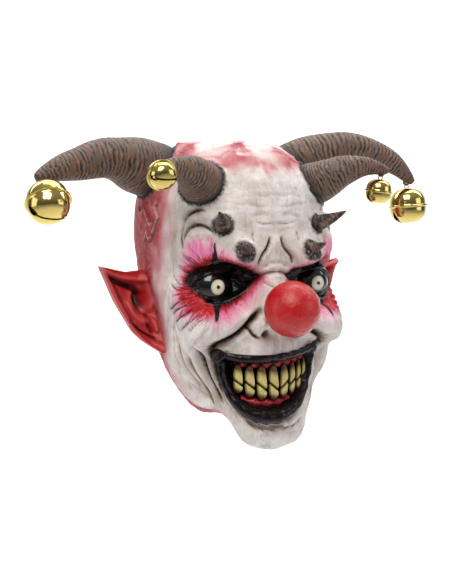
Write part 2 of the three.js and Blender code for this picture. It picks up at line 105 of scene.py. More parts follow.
# Swells and hollows of the flesh: x, y, z, across, deep, up, height. A row off the middle has a twin,
# unless it is named for the left.
SWELLS = {
    "brow_inner": (31, -97, -104, 13, 25, 11, 11),
    "brow_middle": (47, -92, -94, 17, 25, 12, 5),
    "brow_outer": (74, -72, -100, 15, 22, 18, 7),
    "eye_socket": (53, -86, -134, 23, 25, 14, -13),
    "cheek": (72, -84, -172, 24, 30, 23, 19),
    "cheekbone": (80, -66, -146, 14, 20, 17, 8),
    "nose_bridge": (0, -96, -134, 12, 30, 17, 10),
    "nose_body": (0, -98, -156, 17, 30, 14, 20),
    "nostril_wing": (20, -100, -168, 8, 20, 8, 8),
    "muzzle": (0, -98, -191, 42, 30, 13, 6),
    "mouth_side": (57, -82, -197, 14, 20, 15, -6),
    "temple": (86, -38, -112, 20, 20, 24, -3),
    "jowl": (82, -58, -203, 18, 25, 20, 12),
    "jaw_hollow": (60, -70, -236, 12, 20, 16, -5),
    "chin": (0, -93, -262, 34, 24, 22, 6),
    "horn_seat": (82, 8, -30, 24, 30, 24, 3),
    "nostril_lobe": (20, -104, -170, 6.5, 20, 7.5, 7.5),
    "nostril_hole": (12, -106, -178, 4.5, 20, 3.8, -10),
    "frown_middle": (0, -100, -98, 4.5, 20, 12, 3),
    "chin_boss": (0, -97, -274, 24, 24, 9, 3),
    "inner_corner": (28, -94, -126, 14, 25, 8, -9),
    "chin_side": (28, -92, -272, 13, 22, 12, 4),
    "muzzle_side": (36, -96, -188, 12, 20, 8, -2.5),
    "crown_front": (0, -42, -6, 48, 26, 20, 2.5),
    "crown_flap": (48, -8, -8, 15, 24, 14, 6.5),
    "cheek_apple": (52, -92, -164, 15, 20, 10, 4),
    "jowl_low_left": (84, -58, -220, 16, 24, 16, 9),
}
# Where the rim of the jaw hangs lower or is drawn up, in the same way on its left half, which the right
# half mirrors: the last number is the drop
JAW_SAGS = {
    "chin": (0, -93, -262, 34, 24, 22, 22),
    "jaw_corner_left": (60, -58, -232, 20, 22, 26, 8),
    "under_ear_left": (80, -5, -192, 26, 24, 26, -13),
    "chin_side_left": (42, -75, -256, 14, 16, 28, -9),
}

# Creases and ridges drawn over the left half of the head, with twins on the right: the path as mm round
# the head from the middle of the face and z, then width, height and how dark the wash and painted shade in it
# is.
STROKES = {
    "brow_fold_outer": ([(87, -106), (89, -92), (88, -80), (85, -69), (76, -64), (65, -64.5)],
                        2.4, -5.6, 0.85),
    "brow_fold_roll": ([(87, -98), (86.5, -86), (83, -74), (74, -70.5), (63, -73)], 4.5, 5.2, 0.0),
    "brow_fold_inner": ([(85, -99), (84.5, -88), (81, -80), (73, -77.5), (64, -81), (56, -87)],
                        2.0, -4.4, 0.75),
    "brow_edge": ([(62, -100), (52, -104), (41, -108.5), (30, -113.5), (21, -114)], 5.5, 6.0, 0.0),
    "lid_fold": ([(89, -128), (79, -119.5), (69, -116.5), (58, -114), (46, -114.5), (34, -118.5),
                  (20, -122.5)], 2.8, -5.5, 0.9),
    "lid_bag": ([(82, -146), (70, -152), (55, -153.5), (40, -150), (30, -143)], 2.2, -2.4, 0.4),
    "crow_foot_long": ([(110, -157), (102, -155), (94, -151), (86, -146), (78, -143)], 1.3, -2.6, 0.8),
    "crow_foot_second": ([(101, -162), (92, -156), (82, -151), (74, -149)], 1.2, -2.2, 0.8),
    "crow_foot_third": ([(95, -168), (86, -162), (77, -156), (69, -154)], 1.2, -2.2, 0.8),
    "crow_foot_fourth": ([(86, -174), (79, -168), (71, -161), (64, -157)], 1.2, -2.0, 0.7),
    "crow_foot_fifth": ([(76, -175), (71, -168), (65, -162), (60, -158)], 1.1, -1.8, 0.6),
    "crow_foot_high": ([(110, -132), (101, -136), (94, -138), (86, -137)], 1.3, -2.2, 0.7),
    "crow_foot_top": ([(107, -123), (98, -130), (91, -134)], 1.2, -1.6, 0.5),
    "tear_line_outer": ([(47, -148), (45, -156), (44, -162)], 1.1, -1.2, 0.4),
    "tear_line_middle": ([(39, -146), (37, -153), (35, -159)], 1.1, -1.2, 0.4),
    "tear_line_inner": ([(32, -142), (29, -149), (27, -154)], 1.1, -1.2, 0.4),
    "smile_fold": ([(15, -151), (18, -156), (24, -162.5), (30, -168), (38, -175.5), (48, -181), (58, -186),
                    (62.5, -192), (62, -200)], 3.0, -8.5, 0.95),
    "smile_roll": ([(21, -148), (30, -159), (41, -167), (52, -172.5), (64, -178), (71, -187), (72, -198)],
                   7.5, 5.5, 0.0),
    "mouth_side_line": ([(61, -197), (60, -208), (57, -220), (50, -238)], 2.4, -5.5, 0.85),
    "wing_crease": ([(18, -157), (26, -161), (29.5, -168), (27, -175), (21, -180), (14, -182)],
                    1.7, -4.5, 0.9),
    "cheek_fold": ([(60, -165), (65, -175), (72, -184), (80, -192)], 1.8, -2.0, 0.4),
    "cheek_line_inner": ([(73, -180), (71, -198), (66, -215), (57, -233), (47, -250)], 2.4, -5.0, 0.85),
    "cheek_line_middle": ([(82, -190), (81, -205), (76, -220), (67, -236), (58, -250)], 2.2, -3.2, 0.6),
    "cheek_line_outer": ([(91, -172), (90, -188), (87, -204), (80, -222), (71, -240)], 2.0, -2.4, 0.45),
    "cheek_line_far": ([(99, -160), (99, -178), (96, -196), (89, -214)], 1.8, -1.8, 0.35),
    "jowl_line": ([(59, -210), (57, -222), (50, -237), (42, -250)], 1.8, -2.2, 0.45),
    "chin_crease": ([(28, -259), (22, -263.5), (12, -266.5), (0, -266)], 1.7, -2.6, 0.55),
    "chin_crease_low": ([(20, -271), (10, -271), (3, -270)], 1.6, -1.6, 0.35),
    "frown": ([(5.5, -87), (6.5, -93), (10, -100), (16, -107), (19, -118)], 1.7, -4.6, 0.85),
    "frown_outer": ([(22, -82), (24, -88), (22, -95)], 1.6, -1.6, 0.3),
    "bridge_line_top": ([(0, -112), (6, -113), (12, -117)], 1.5, -1.4, 0.3),
    "bridge_line_low": ([(0, -121), (7, -121.5), (14, -124.5), (21, -127)], 1.7, -3.4, 0.7),
    "bridge_line_side": ([(4, -136), (8, -133), (14, -129)], 1.3, -1.8, 0.5),
    "forehead_line_a": ([(0, -50), (12, -51), (24, -49)], 1.3, -0.8, 0.15),
    "forehead_line_b": ([(2, -60), (14, -61), (30, -58), (38, -60)], 1.3, -1.0, 0.25),
    "forehead_line_c": ([(4, -69), (16, -68), (27, -71)], 1.3, -1.1, 0.3),
    "forehead_line_d": ([(0, -76), (10, -77), (20, -75)], 1.3, -1.3, 0.35),
    "forehead_vein": ([(6, -22), (8, -34), (6, -44), (2, -54), (-2, -62)], 2.2, 1.4, 0.0),
    "temple_line_a": ([(98, -72), (99, -100), (98, -124)], 2.0, -1.2, 0.3),
    "temple_line_b": ([(104, -70), (106, -105), (104, -140)], 2.0, -1.1, 0.3),
    "lip_groove": ([(4, -176), (4.5, -186), (3.5, -197)], 2.0, -1.4, 0.2),
}
# Painted shade round the folds, soft and brown: mm round the head, z, reach across and up, strength
FOLD_SHADE = {
    "mouth_side": (64, -212, 11, 24, 0.34),
    "jaw_hollow": (57, -238, 9, 14, 0.4),
    "temple": (101, -95, 8, 42, 0.34),
    "nose_side": (20, -146, 7, 12, 0.3),
    "brow_fold": (78, -76, 16, 9, 0.22),
    "brow_middle": (14, -104, 9, 16, 0.25),
    "chin_crease": (0, -263, 26, 5, 0.12),
    "lip_corner": (52, -186, 14, 5, 0.4),
    "muzzle": (0, -188, 40, 8, 0.16),
    "spike_foot": (44, -92, 14, 16, 0.2),
    "horn_foot": (66, -56, 20, 10, 0.26),
    "crow_feet": (98, -146, 10, 22, 0.22),
}
OUTLINE = Values(points=130, reach=20.0)  # of make-up: points along it, how far round it is looked at
# A stroke: points along it, how far it and its wash and painted shade reach in widths, and the share of it
# that each end takes
STROKE = Values(points=28, reach=4.5, wash=0.6, wash_more=0.3, end=0.22, on_middle=0.5)
# Flesh swells beside a crease: its height in depths, its place and reach in widths of the crease
FOLD = Values(lip=0.3, lip_at=2.1, lip_reach=1.1, sharpness=1.5)

# Fields of fine wrinkles: the region (round from, to, z from, to), the way the lines run in degrees from
# level, how far apart and how long they are, their depth and the wash and painted shade in them
WRINKLES = {
    "forehead": ((-20, 82, -96, -40), 3, 6.0, 34, 0.5, 0.25),
    "temple": ((90, 124, -180, -56), 90, 5.0, 46, 0.7, 0.45),
    "cheek": ((78, 122, -216, -160), 70, 6.0, 40, 0.8, 0.45),
    "jaw": ((30, 98, -264, -204), 50, 6.0, 40, 0.7, 0.4),
    "muzzle": ((-20, 52, -200, -176), 84, 5.0, 20, 0.35, 0.22),
    "bridge": ((-20, 20, -142, -108), 5, 5.0, 16, 0.6, 0.3),
    "chin": ((-20, 42, -290, -258), 4, 6.0, 22, 0.3, 0.14),
    "crown": ((-20, 300, -40, 20), 80, 5.0, 24, 0.5, 0.15),
    "upper_lid": ((52, 92, -118, -82), -40, 5.0, 26, 0.8, 0.5),
}
WRINKLE = Values(sharpness=0.12, fade=10.0, patch=15.0, shown=0.55, patchy=1.6)
# Fine lines that spread from each eye: degrees apart, length, where they start and end and over how far,
# then the middle and half of their fan in degrees, how softly it ends and how much is lost low down
EYE_RAYS = Values(apart=7.0, length=26.0, near=20.0, start=8, far=54.0, end=22, middle=-5, half=115,
                  soft=30, low=-40, low_loss=0.6)

# Where the white of the face gives way to the red of the sides: z, mm round the head
RAW_EDGE = np.array([(-235, 108), (-207, 121), (-160, 134), (-125, 135), (-102, 127), (-83, 117),
                     (-60, 120), (-20, 130)])
# The raw red: its ragged and streaked edges, and how it fades at the sides, on the crown and at the rim
RAW = Values(ragged=9, ragged_size=18.0, streaks=6, streak_size=7.0, streak_draw=(1, 1, 0.3), side_fade=56,
             crown_z=-27, crown_ragged=0.9, crown_fade=16, top_z=-5.0, top_ragged=1.2, top_fade=10,
             crown=0.55, crown_patches=0.6, crown_size=24.0, rim=0.7, rim_drop=0.93, rim_fade=0.05,
             rim_from=38, rim_over=20)

# Torn edges of the white skin over the raw red, as straight-sided zigzags on the same chart.
TORN_EDGES = {
    "temple_long": [(126, -50), (131, -62), (125, -71), (132, -82), (141, -95), (148, -87), (154, -99)],
    "temple_upper": [(172, -60), (162, -68), (153, -63), (144, -75), (132, -80)],
}
# The same on top of the crown, as x and y seen from above.
CROWN_EDGES = {
    "front_right": [(-48, -52), (-37, -60), (-30, -56), (-14, -63), (-2, -61)],
    "front_left": [(14, -64), (22, -56), (36, -56), (44, -49), (54, -45)],
    "middle": [(-40, -18), (-28, -30), (-9, -26), (4, -35), (26, -28), (45, -22)],
}
TORN = Values(lift=2.2, lift_reach=5.0, line=1.3, depth=1.2, edge=1.5, edge_white=0.9, end=0.12, jag=1.4,
              jag_size=6.0, strands=6.0, strand_size=2.0, strand_draw=(0.9, 0.22), shown=0.45, patchy=1.4,
              reach=20.0)
# The groove beside a lifted edge holds painted shadow on the sides of the head, and none on the crown
TORN_SIDES = Values(wash=0.45, relief=1.0)
TORN_CROWN = Values(wash=0.0, relief=0.4)
CROWN = Values(foot=-60, wisps_from=-30, wisps_over=18)  # heights

# The latex heaped round the horns and spikes where they leave the head: its height, how far out it stands
# and how wide it is, and the grime round it: where it starts, how far it spreads and how ragged it is
COLLARS = {
    "horns": Values(height=2.4, lumps=2.0, out=1.0, width=3.2, start=0.5, spread=2.4, ragged=2.2),
    "spikes": Values(height=1.6, lumps=1.0, out=0.5, width=2.2, start=0.2, spread=2.5, ragged=2.0),
}
LUMP = 5.0  # size of the lumps in the heaped latex and the lips
SKIN_LUMPS = ((0.4, 9.0), (0.2, 3.0))  # height and size of the unevenness of the cast
# Painted shade and wash settle in hollows of these depths, and ridges are rubbed pale with a painted
# highlight; rounds of averaging find both
CAVITY = Values(rounds=10, wash=0.6, start=0.35, over=1.6, ridge=0.9)

# The grinning mouth: a sunken half moon with a thin upper and a full lower lip.
# Its top edge sinks in the middle by the height of the smile.
MOUTH = Values(half_width=43.5, top=-198.6, smile=6, bottom=-247, roundness=2.2, depth=11, edge=5, steps=60,
               near=40, tilt=0.05, shift=-4.5)
UPPER_LIP = {"out": 4.0, "half": 4.3, "height": 4.2}
LOWER_LIP_END = {"out": 2.8, "half": 3.2, "height": 4.5}
LOWER_LIP_MIDDLE = {"out": 7.0, "half": 7.2, "height": 10.0}
# How the lips blend, what is left of the upper one at its ends, the lumps and the edges of the paint
LIP = Values(blend=8, ends=0.85, lumps=0.7, lump_size=3.2, edge=1.2, mouth_inset=0.3, mouth_edge=1.5)
LIP_KNOB = Values(round=51.5, z=-194.5, reach=7.4, right=7.0, left=2.8)  # heights to the right and left
FACE_REACH = (-20, -50)  # the mouth and its lips fade out between these depths

SIGHT_SLIT = Values(x=47, y=-50, z=-117, length=26, height=5.5, depth=60, tilt=0.16, steps=13)

# Eyes: the dome and its place on the chart round the head, and the almond opening between the lids there
EYE = Values(x=54, y=-68, z=-134, round=53.5, cap=56, thickness=1.5, rows=48, columns=72)
LIDS = Values(round=53, z=-134, half=25, up=13.0, down=10.0, fullness=0.8, over=1.4, reach=26, fade=10,
              lift=30, edge=1.6, behind=1.8, sink=3)
LID_ROLLS = ((2.2, 1.5), (6.5, 0.75))  # distance from the opening, height
LID_ROLL_WIDTH = 1.6
# The make-up round each eye: how soft its edge is, how far its streaks stray and its outline on the chart
EYE_PAINT = {
    # Near the nose the black runs in under the brow, where it is the brow's painted shadow as well as make-up
    "soot_and_shade": ((8.0, 3.0), [
        (90, -130), (86, -123), (78, -118.5), (68, -115), (60, -112), (52, -109), (43, -110.5), (31, -115),
        (18, -121), (13, -125), (20, -131), (27, -138), (35, -145), (47, -150.5), (61, -150.5), (70, -145),
        (77, -139), (85, -134)]),
    "rouge": ((11.0, 6.0), [
        (93, -129), (85, -117), (76, -110), (67, -105), (58, -104), (49, -106.5), (37, -110), (24, -116.5),
        (11, -125), (19, -136), (28, -145.5), (42, -153), (52, -158.5), (60, -162), (68, -162), (77, -157.5),
        (86, -150), (91, -140)]),
    "pink": ((19.0, 8.0), [
        (94, -130), (88, -112), (84, -101), (77, -93), (67, -91), (60, -93.5), (54, -98.5), (46, -104),
        (36, -109), (24, -116.5), (11, -126), (21, -145), (31, -154), (44, -165), (51, -167), (64, -165.5),
        (76, -163), (86, -157), (93, -147)]),
}
# Streaks in the make-up: strength, degrees apart, length, seed. They are weaker towards the nose.
EYE_STREAKS = ((0.6, 3.0, 40, 3.0), (1.0, 9.0, 30, 8.0))
STREAK_FADE = Values(least=0.3, start=-10, over=30)
# The black point above and below each eye: x of the middle, half width at the lid, lid end z, point z
INK_POINTS = {"above": (56, 4.4, -116, -93), "below": (54.5, 3.8, -145, -170)}
INK = Values(hollow=1.7, tip=0.4, under=-0.1, edge=1.2)

NOSE = Values(y=-128, z=-153, rows=80, columns=112, sink=0.2)
NOSE_CRAWL = ((0.28, 9.0), (0.16, 4.0))  # height and size of the nose's wrinkles
NOSE_VALLEYS = (0.12, 2.6)  # depth and size of the fine valleys
TOOTH_ACROSS = (-35.5, -25.8, -14.2, -2.0, 10.2, 19.4, 27.6, 34.4)  # middles, uneven as cast by hand
TOOTH_ROWS = {
    "upper_teeth": Values(edge=(-206.8, -203), gum_z=-206.5, gum_rise=4, teeth=8),
    "lower_teeth": Values(edge=(-241, -231.5), gum_z=-243.5, gum_rise=7, teeth=7),
}
BITE = Values(z=(-227.8, -221.5), slope=0.85, gap=0.4)  # height in the middle and at the ends
TOOTH = Values(front=-96, bow=0.0065, gap=1.6, half_depth=5, half_row=35, rows=26, columns=40)
TOOTH_ROUND = Values(edge=0.32, root=0.45, front=0.8, over=0.5)  # squarer at the biting edge than the root
TOOTH_TAPER = Values(loss=0.28, start=-0.6, over=1.6)
# Where paint starts and over how far, in shares of half a tooth: up to the root, and round from the front,
# where the brown and black stand partly for painted shade on the turned sides
TOOTH_PAINT = Values(root=(-0.45, 1.2), edge=(-0.97, 0.3), edge_stain=0.6, ink=(-0.52, 0.3))
GUM = Values(radius=3.4, inset=2.4, reach=1.04, steps=160, sides=20, full=1.4, scallop=0.6)

# Ears: each row is one strip from the root on the head to the outer edge, with how deep it is cupped
EAR_STRIPS = np.array([
    (-74, -30, -198, -84, -27, -200, 0),
    (-74, -24, -190, -100, -18, -188, 5),
    (-74, -18, -178, -108, -13, -179, 8),
    (-75, -11, -164, -116, -9, -164, 10),
    (-76, -4, -150, -123, -5, -150, 10),
    (-77, 3, -136, -130, -3, -133, 7),
    (-78, 10, -122, -137, -2, -117, 1),
])
EAR = Values(thickness=4.5, rim_thickness=6.5, fullness=0.8, rows=110, columns=72, top_dip=6.5,
             dip_from=0.6, dip_over=0.4, dip_fullness=0.9, end=0.04, end_thickness=0.25, end_relief=0.3,
             lump=8.0, front_lumps=0.4, back_lumps=0.3, stroke_reach=3, rubbed=0.5)
EAR_LEAN = {"ear_right": 0.0, "ear_left": 9.0}  # how far back the edge of each soft ear leans
EAR_CHART = (45.0, 84.0)  # width and height of an ear laid flat
# Rolls and hollows of the ear: the path as shares of the way out and up, width, height and painted shadow
EAR_STROKES = {
    "rim": ([(0.95, 0.03), (0.94, 0.3), (0.94, 0.6), (0.95, 0.85), (0.97, 0.98)], 3.0, 3.0, 0.0),
    "top_roll": ([(0.97, 0.975), (0.7, 0.955), (0.4, 0.95), (0.18, 0.92)], 3.2, 3.6, 0.0),
    "front_roll": ([(0.18, 0.94), (0.14, 0.82), (0.15, 0.68), (0.24, 0.58), (0.36, 0.55)], 3.8, 5.5, 0.0),
    "upper_hollow": ([(0.8, 0.9), (0.6, 0.86), (0.44, 0.82), (0.36, 0.74)], 4.2, -6.0, 1.0),
    "rim_groove": ([(0.81, 0.86), (0.8, 0.62), (0.82, 0.44)], 2.4, -2.4, 0.6),
    "inner_plane": ([(0.52, 0.74), (0.64, 0.62), (0.68, 0.52), (0.58, 0.45), (0.42, 0.43)], 4.2, 3.4, 0.0),
    "concha": ([(0.42, 0.67), (0.41, 0.6), (0.38, 0.56)], 5.6, -9.0, 1.0),
    "lobe_crease": ([(0.88, 0.43), (0.75, 0.33), (0.6, 0.25), (0.44, 0.2)], 2.2, -4.0, 0.95),
    "notch": ([(0.36, 0.47), (0.41, 0.38), (0.42, 0.3)], 2.0, -5.0, 0.95),
    "tragus": ([(0.25, 0.42), (0.26, 0.32)], 3.0, 3.2, 0.0),
    "lobe": ([(0.62, 0.13), (0.4, 0.09)], 5.0, 1.5, 0.0),
}

# Horns: the line through the middle, the thickness along it
HORNS = {
    "horn_large_right": ([(-62, 14, -30), (-92, 2, -23), (-132, -12, -16), (-162, -19, -22), (-184, -25, -27),
                          (-206, -30, -35)], (28, 27, 20, 17, 12.5, 5.5)),
    "horn_large_left": ([(62, 14, -38), (92, 1, -16), (126, -14, -3), (156, -20, -6), (184, -26, -18),
                         (206, -30, -37)], (28, 25, 18, 15, 11.5, 4.5)),
    "horn_small_right": ([(-46, -50, -46), (-64, -70, -38), (-82, -87, -30), (-102, -95, -26),
                          (-125, -98, -27)], (22, 20, 16, 9, 4)),
    "horn_small_left": ([(46, -50, -46), (64, -70, -38), (82, -87, -27), (102, -95, -23),
                         (125, -98, -27)], (22, 20, 15, 9, 4)),
}
HORN = Values(tip_from=0.96, tip_fade=0.06, step=0.7, sides=72, bury=0.6, root_taper=0.7, pace=0.4,
              pace_length=8.0, waver=0.85, groove=0.37, crest=0.55, chips=0.2)
# Lines round a horn: how many for each ring, how strong, how whole, out of step by
RING_LINES = ((1.0, 1.0, 0.92, 0.0), (2.1, 0.75, 0.45, 0.37))
RING_WAVERS = ((0.7, 9.0, 1 / 2.2), (0.4, 3.0, 1.0))  # strength, size and how close along the horn
RING_BREAKS = Values(strength=1.2, size=10.0, along=(1.6, 1, 1), apart=40)
# How far round the horn each noise goes, and the size of its chips
HORN_NOISE = Values(waver=12, breaks=16, chips=20, chip=2.6)
HORN_ROOT = {"large": 13.0, "small": 7.0}  # reach of the dark root

# Spikes on the wearer's right, with twins: base, tip, radius
SPIKES = {
    "spike_upper": ((-48, -85, -78), (-67, -113, -65), 8.6),
    "spike_lower": ((-33, -95, -101), (-41, -119, -94), 7.4),
}
SPIKE = Values(hook=4, taper=0.8, tip_radius=0.4, sides=40, step=0.7, rings=9, waver=1.1, ring_depth=0.4,
               lump_depth=0.5, lump=5.0)
SPIKE_PAINT = Values(rings=0.6, lumps=0.5, least=0.2, root=0.34, root_fade=0.3)

BELL_SIZES = {
    "large": Values(radius=19, height=37, wall=1.0, rim=2.0, band=1.6, slot=2.4, hole=3.2),
    "small": Values(radius=12.5, height=23.5, wall=0.9, rim=1.4, band=1.3, slot=1.8, hole=2.2),
}
BELL = Values(sides=72, steps=40, shoulder=2.6, slot_angle=0.95, slot_steps=33, slot_top=0.12)
# The band round a bell: its gap from the body, the fillet at its foot, its round edge and its middle seam
BAND = Values(clear=0.6, foot=0.5, fillet=0.3, corner=0.4, flat=0.6, seam=0.12, seam_depth=0.3)
LOOP = Values(radius=2.4, wire=0.55, steps=40, sides=14)
# Turns of thread in degrees. Each has two plies, given by radius and distance from the thread's middle.
TIE = Values(radius=3.6, thread=0.65, turns=(-24, 0, 24), steps=120, twists=9, ply=0.38, ply_out=0.3,
             ply_sides=10)
# Where each bell hangs from and how it leans forwards and sideways in degrees
HANGS = {
    "large_right": ((-200, -34, -40.5), 38, 5),
    "large_left": ((200, -28, -41.5), 3, -3),
    "small_right": ((-125, -106, -28.5), 70, 0),
    "small_left": ((117, -97.5, -33.5), -3, 7),
}

# Camera: where it aims, how far off it stands and from which side
VIEW = Values(aim=(0, 0, -150), look=(0, 0, -147), distance=1165, azimuth=-28, elevation=5)
PHOTO = Values(width=452, height=584, focal=1165)  # in pixels
SENSOR = 36.0

# The stage, seen from the camera's side: the paper is level from near to far, bends and rises to its top.
PAPER = Values(near=-4000, far=2200, bend=900, bend_steps=17, top=5200, half_width=5000)
# A large soft box over the lens and weaker ones round it: place, target, size, share of power, colour
SOFT_BOXES = {
    "soft_box_key": ((-150, -1050, 1000), (0, -40, -130), 900, 1.0, "fffaf4"),
    "soft_box_left": ((-1500, -500, 150), (0, 0, -140), 900, 0.25, "f6f9ff"),
    "soft_box_right": ((1500, -500, 150), (0, 0, -140), 900, 0.25, "f6f9ff"),
    "soft_box_top": ((0, 500, 1300), (0, 0, -60), 1200, 0.7, "ffffff"),
    "paper_light_left": ((-1300, 900, 1500), (-700, 3000, -100), 1800, 3.4, "ffffff"),
    "paper_light_right": ((1300, 900, 1500), (700, 3000, -100), 1800, 3.4, "ffffff"),
}
# Greys of the room from straight down to straight up
ROOM_GREYS = ((0.0, "c8c8c8"), (0.5, "8a8a8a"), (0.62, "a8a8a8"), (1.0, "ffffff"))


def linear(hex_colour):
    """Linear colour of an sRGB hex value."""
    channels = [int(hex_colour[i:i + 2], 16) / 255 for i in (0, 2, 4)]
    return tuple(c / 12.92 if c <= 0.04045 else ((c + 0.055) / 1.055) ** 2.4 for c in channels) + (1.0,)


def pattern(size_mm):
    """Texture scale that gives marks of a size in millimetres on coordinates in metres."""
    return 1.0 / (size_mm * MM)


# Curves and surfaces

def smooth(t):
    t = np.clip(t, 0, 1)
    return t * t * (3 - 2 * t)


def ease(value, start, over):
    """Nought up to a start, then a smooth rise to one over a length."""
    return smooth((value - start) / over)


def soft_edge(inside, width):
    """A mask that fades over a width, half of it on each side of where a distance is nought."""
    return ease(inside, -width / 2, width)


def curve(points, share):
    """Points on a smooth curve through a list of points, at shares of the way from 0 to 1."""
    points = np.asarray(points, float)
    padded = np.concatenate([[2 * points[0] - points[1]], points, [2 * points[-1] - points[-2]]])
    steps = np.maximum((np.diff(padded, axis=0) ** 2).sum(1) ** 0.25, 1e-6)
    place = np.clip(share, 0, 1) * (len(points) - 1)
    i = np.minimum(place.astype(int), len(points) - 2)
    t = (place - i)[..., None]
    p0, p1, p2, p3 = (padded[i + k] for k in range(4))
    d0, d1, d2 = (steps[i + k][..., None] for k in range(3))
    m1 = ((p1 - p0) / d0 - (p2 - p0) / (d0 + d1) + (p2 - p1) / d1) * d1
    m2 = ((p2 - p1) / d1 - (p3 - p1) / (d1 + d2) + (p3 - p2) / d2) * d1
    return p1 + m1 * t + (3 * (p2 - p1) - 2 * m1 - m2) * t ** 2 + (2 * (p1 - p2) + m1 + m2) * t ** 3


def column(values, share):
    """One table column read at shares of the way down."""
    return curve(np.stack([values, np.arange(len(values))], -1), share)[..., 0]


def run_along(points):
    """Length along a line up to each of its points."""
    return np.concatenate([[0], np.cumsum(np.linalg.norm(np.diff(points, axis=0), axis=1))])


def evenly(points, count):
    """A curve's points at even lengths along it, and its length."""
    fine = curve(points, np.linspace(0, 1, SAMPLES.curve))
    run = run_along(fine)
    at = np.linspace(0, run[-1], count)
    return np.stack([np.interp(at, run, fine[:, k]) for k in range(3)], -1), run[-1]


def ripple(points, size):
    """Smooth noise from -1 to 1, with lumps of a size in mm."""
    flat = (np.asarray(points).reshape(-1, 3) / size).tolist()
    return np.array([noise.noise(p) for p in flat]).reshape(np.asarray(points).shape[:-1])


def bare_head(turn, drop):
    """Points of the bare head: turn is the angle from the middle of the face, drop runs from crown to rim."""
    front_z, back_z, half_width, front, back, square = (column(c, drop) for c in HEAD_SECTIONS.T)
    half_width, front, back = (np.maximum(v, 1e-6) for v in (half_width, front, back))
    on_front = np.cos(turn) > 0
    power = np.where(on_front, square, 2)
    across = np.abs(np.sin(turn)) / half_width
    along = np.abs(np.cos(turn)) / np.where(on_front, front, back)
    radius = (across ** power + along ** power) ** (-1 / power)
    x, y = radius * np.sin(turn), -radius * np.cos(turn)
    forward = np.clip((back - y) / (front + back), 0, None)
    return np.stack([x, y, back_z + (front_z - back_z) * forward ** SWEEP], -1)


def bare_normals(turn, drop):
    step = 0.002
    low, high = np.clip(drop - step, step / 2, 1), np.clip(drop + step, step, 1)
    round_way = bare_head(turn + step, drop) - bare_head(turn - step, drop)
    down_way = bare_head(turn, high) - bare_head(turn, low)
    across = np.cross(down_way, round_way)
    across[drop <= 0] = (0, 0, 1)
    return across / np.linalg.norm(across, axis=-1, keepdims=True)


def chart_round(turn):
    """Millimetres round the head from the middle of the face, measured at eye height."""
    angles = np.linspace(0, math.pi, SAMPLES.ring)
    ring = bare_head(angles, np.full_like(angles, EYE_SECTION / (len(HEAD_SECTIONS) - 1)))[:, :2]
    wrapped = np.abs((turn + math.pi) % (2 * math.pi) - math.pi)
    return np.interp(wrapped, angles, run_along(ring))


def along_line(line, at, reach):
    """For chart points near a line: which they are, their distance, share of the way and side of it."""
    lo, hi = line.min(0) - reach, line.max(0) + reach
    near = np.flatnonzero(((at > lo) & (at < hi)).all(1))
    start, step = line[:-1], np.diff(line, axis=0)
    offset = at[near][:, None] - start[None]
    share = np.clip((offset * step).sum(-1) / np.maximum((step ** 2).sum(-1), 1e-9), 0, 1)
    gap = offset - share[..., None] * step
    distance = np.linalg.norm(gap, axis=-1)
    best = distance.argmin(1)
    pick = np.arange(len(near))
    side = np.sign(step[best, 0] * offset[pick, best, 1] - step[best, 1] * offset[pick, best, 0])
    return near, distance[pick, best], (best + share[pick, best]) / len(step), side


def mouth_roof(x):
    return MOUTH.top - MOUTH.smile * (1 - np.clip(x / MOUTH.half_width, 0, 1) ** 2)


def mouth_floor(x):
    bow = (1 - np.clip(x / MOUTH.half_width, 0, 1) ** MOUTH.roundness) ** (1 / MOUTH.roundness)
    return MOUTH.top + (MOUTH.bottom - MOUTH.top) * bow


def outside_mouth(x, z):
    """Distance from the edge of the mouth, below nought inside it."""
    across = MOUTH.half_width * np.sin(np.linspace(0, math.pi / 2, MOUTH.steps))
    edge = np.concatenate([np.stack([across, height(across)], -1) for height in (mouth_floor, mouth_roof)])
    away = np.full(x.shape, FAR)
    near = z < MOUTH.top + MOUTH.near
    away[near] = np.min(np.hypot(x[near, None] - edge[:, 0], z[near, None] - edge[:, 1]), axis=1)
    inside = (x < MOUTH.half_width) & (z < mouth_roof(x)) & (z > mouth_floor(x))
    return np.where(inside, -away, away)


def lid_gap(around, z):
    """How far inside the almond opening of the eye a chart point lies, below nought outside it."""
    share = np.abs(around - LIDS.round) / LIDS.half
    bow = np.clip(1 - share ** 2, 0, 1) ** LIDS.fullness
    rise = z - LIDS.z
    past = np.clip(share - 1, 0, None) * LIDS.half
    return np.minimum(LIDS.up * bow - rise, LIDS.down * bow + rise) - past


def leaving_dome(points, normals, radius):
    """Height along each normal at which it leaves the eye dome, far below nought where it misses it."""
    centre = np.where(points[:, :1] < 0, -1, 1) * np.array([[1, 0, 0]]) * EYE.x + (0, EYE.y, EYE.z)
    offset = points - centre
    middle = (offset * normals).sum(1)
    inside = middle ** 2 - (offset ** 2).sum(1) + radius ** 2
    return np.where(inside > 0, -middle + np.sqrt(np.maximum(inside, 0)), -FAR)


def swells(points, table):
    """Height of a table's swells and hollows at each point."""
    height = np.zeros(len(points))
    for name, (x, y, z, across, deep, up, rise) in table.items():
        for side in ((-1, 1) if x and not name.endswith("_left") else (1,)):
            gap = (points - (side * x, y, z)) / (across, deep, up)
            height += rise * np.exp(-(gap ** 2).sum(1))
    return height


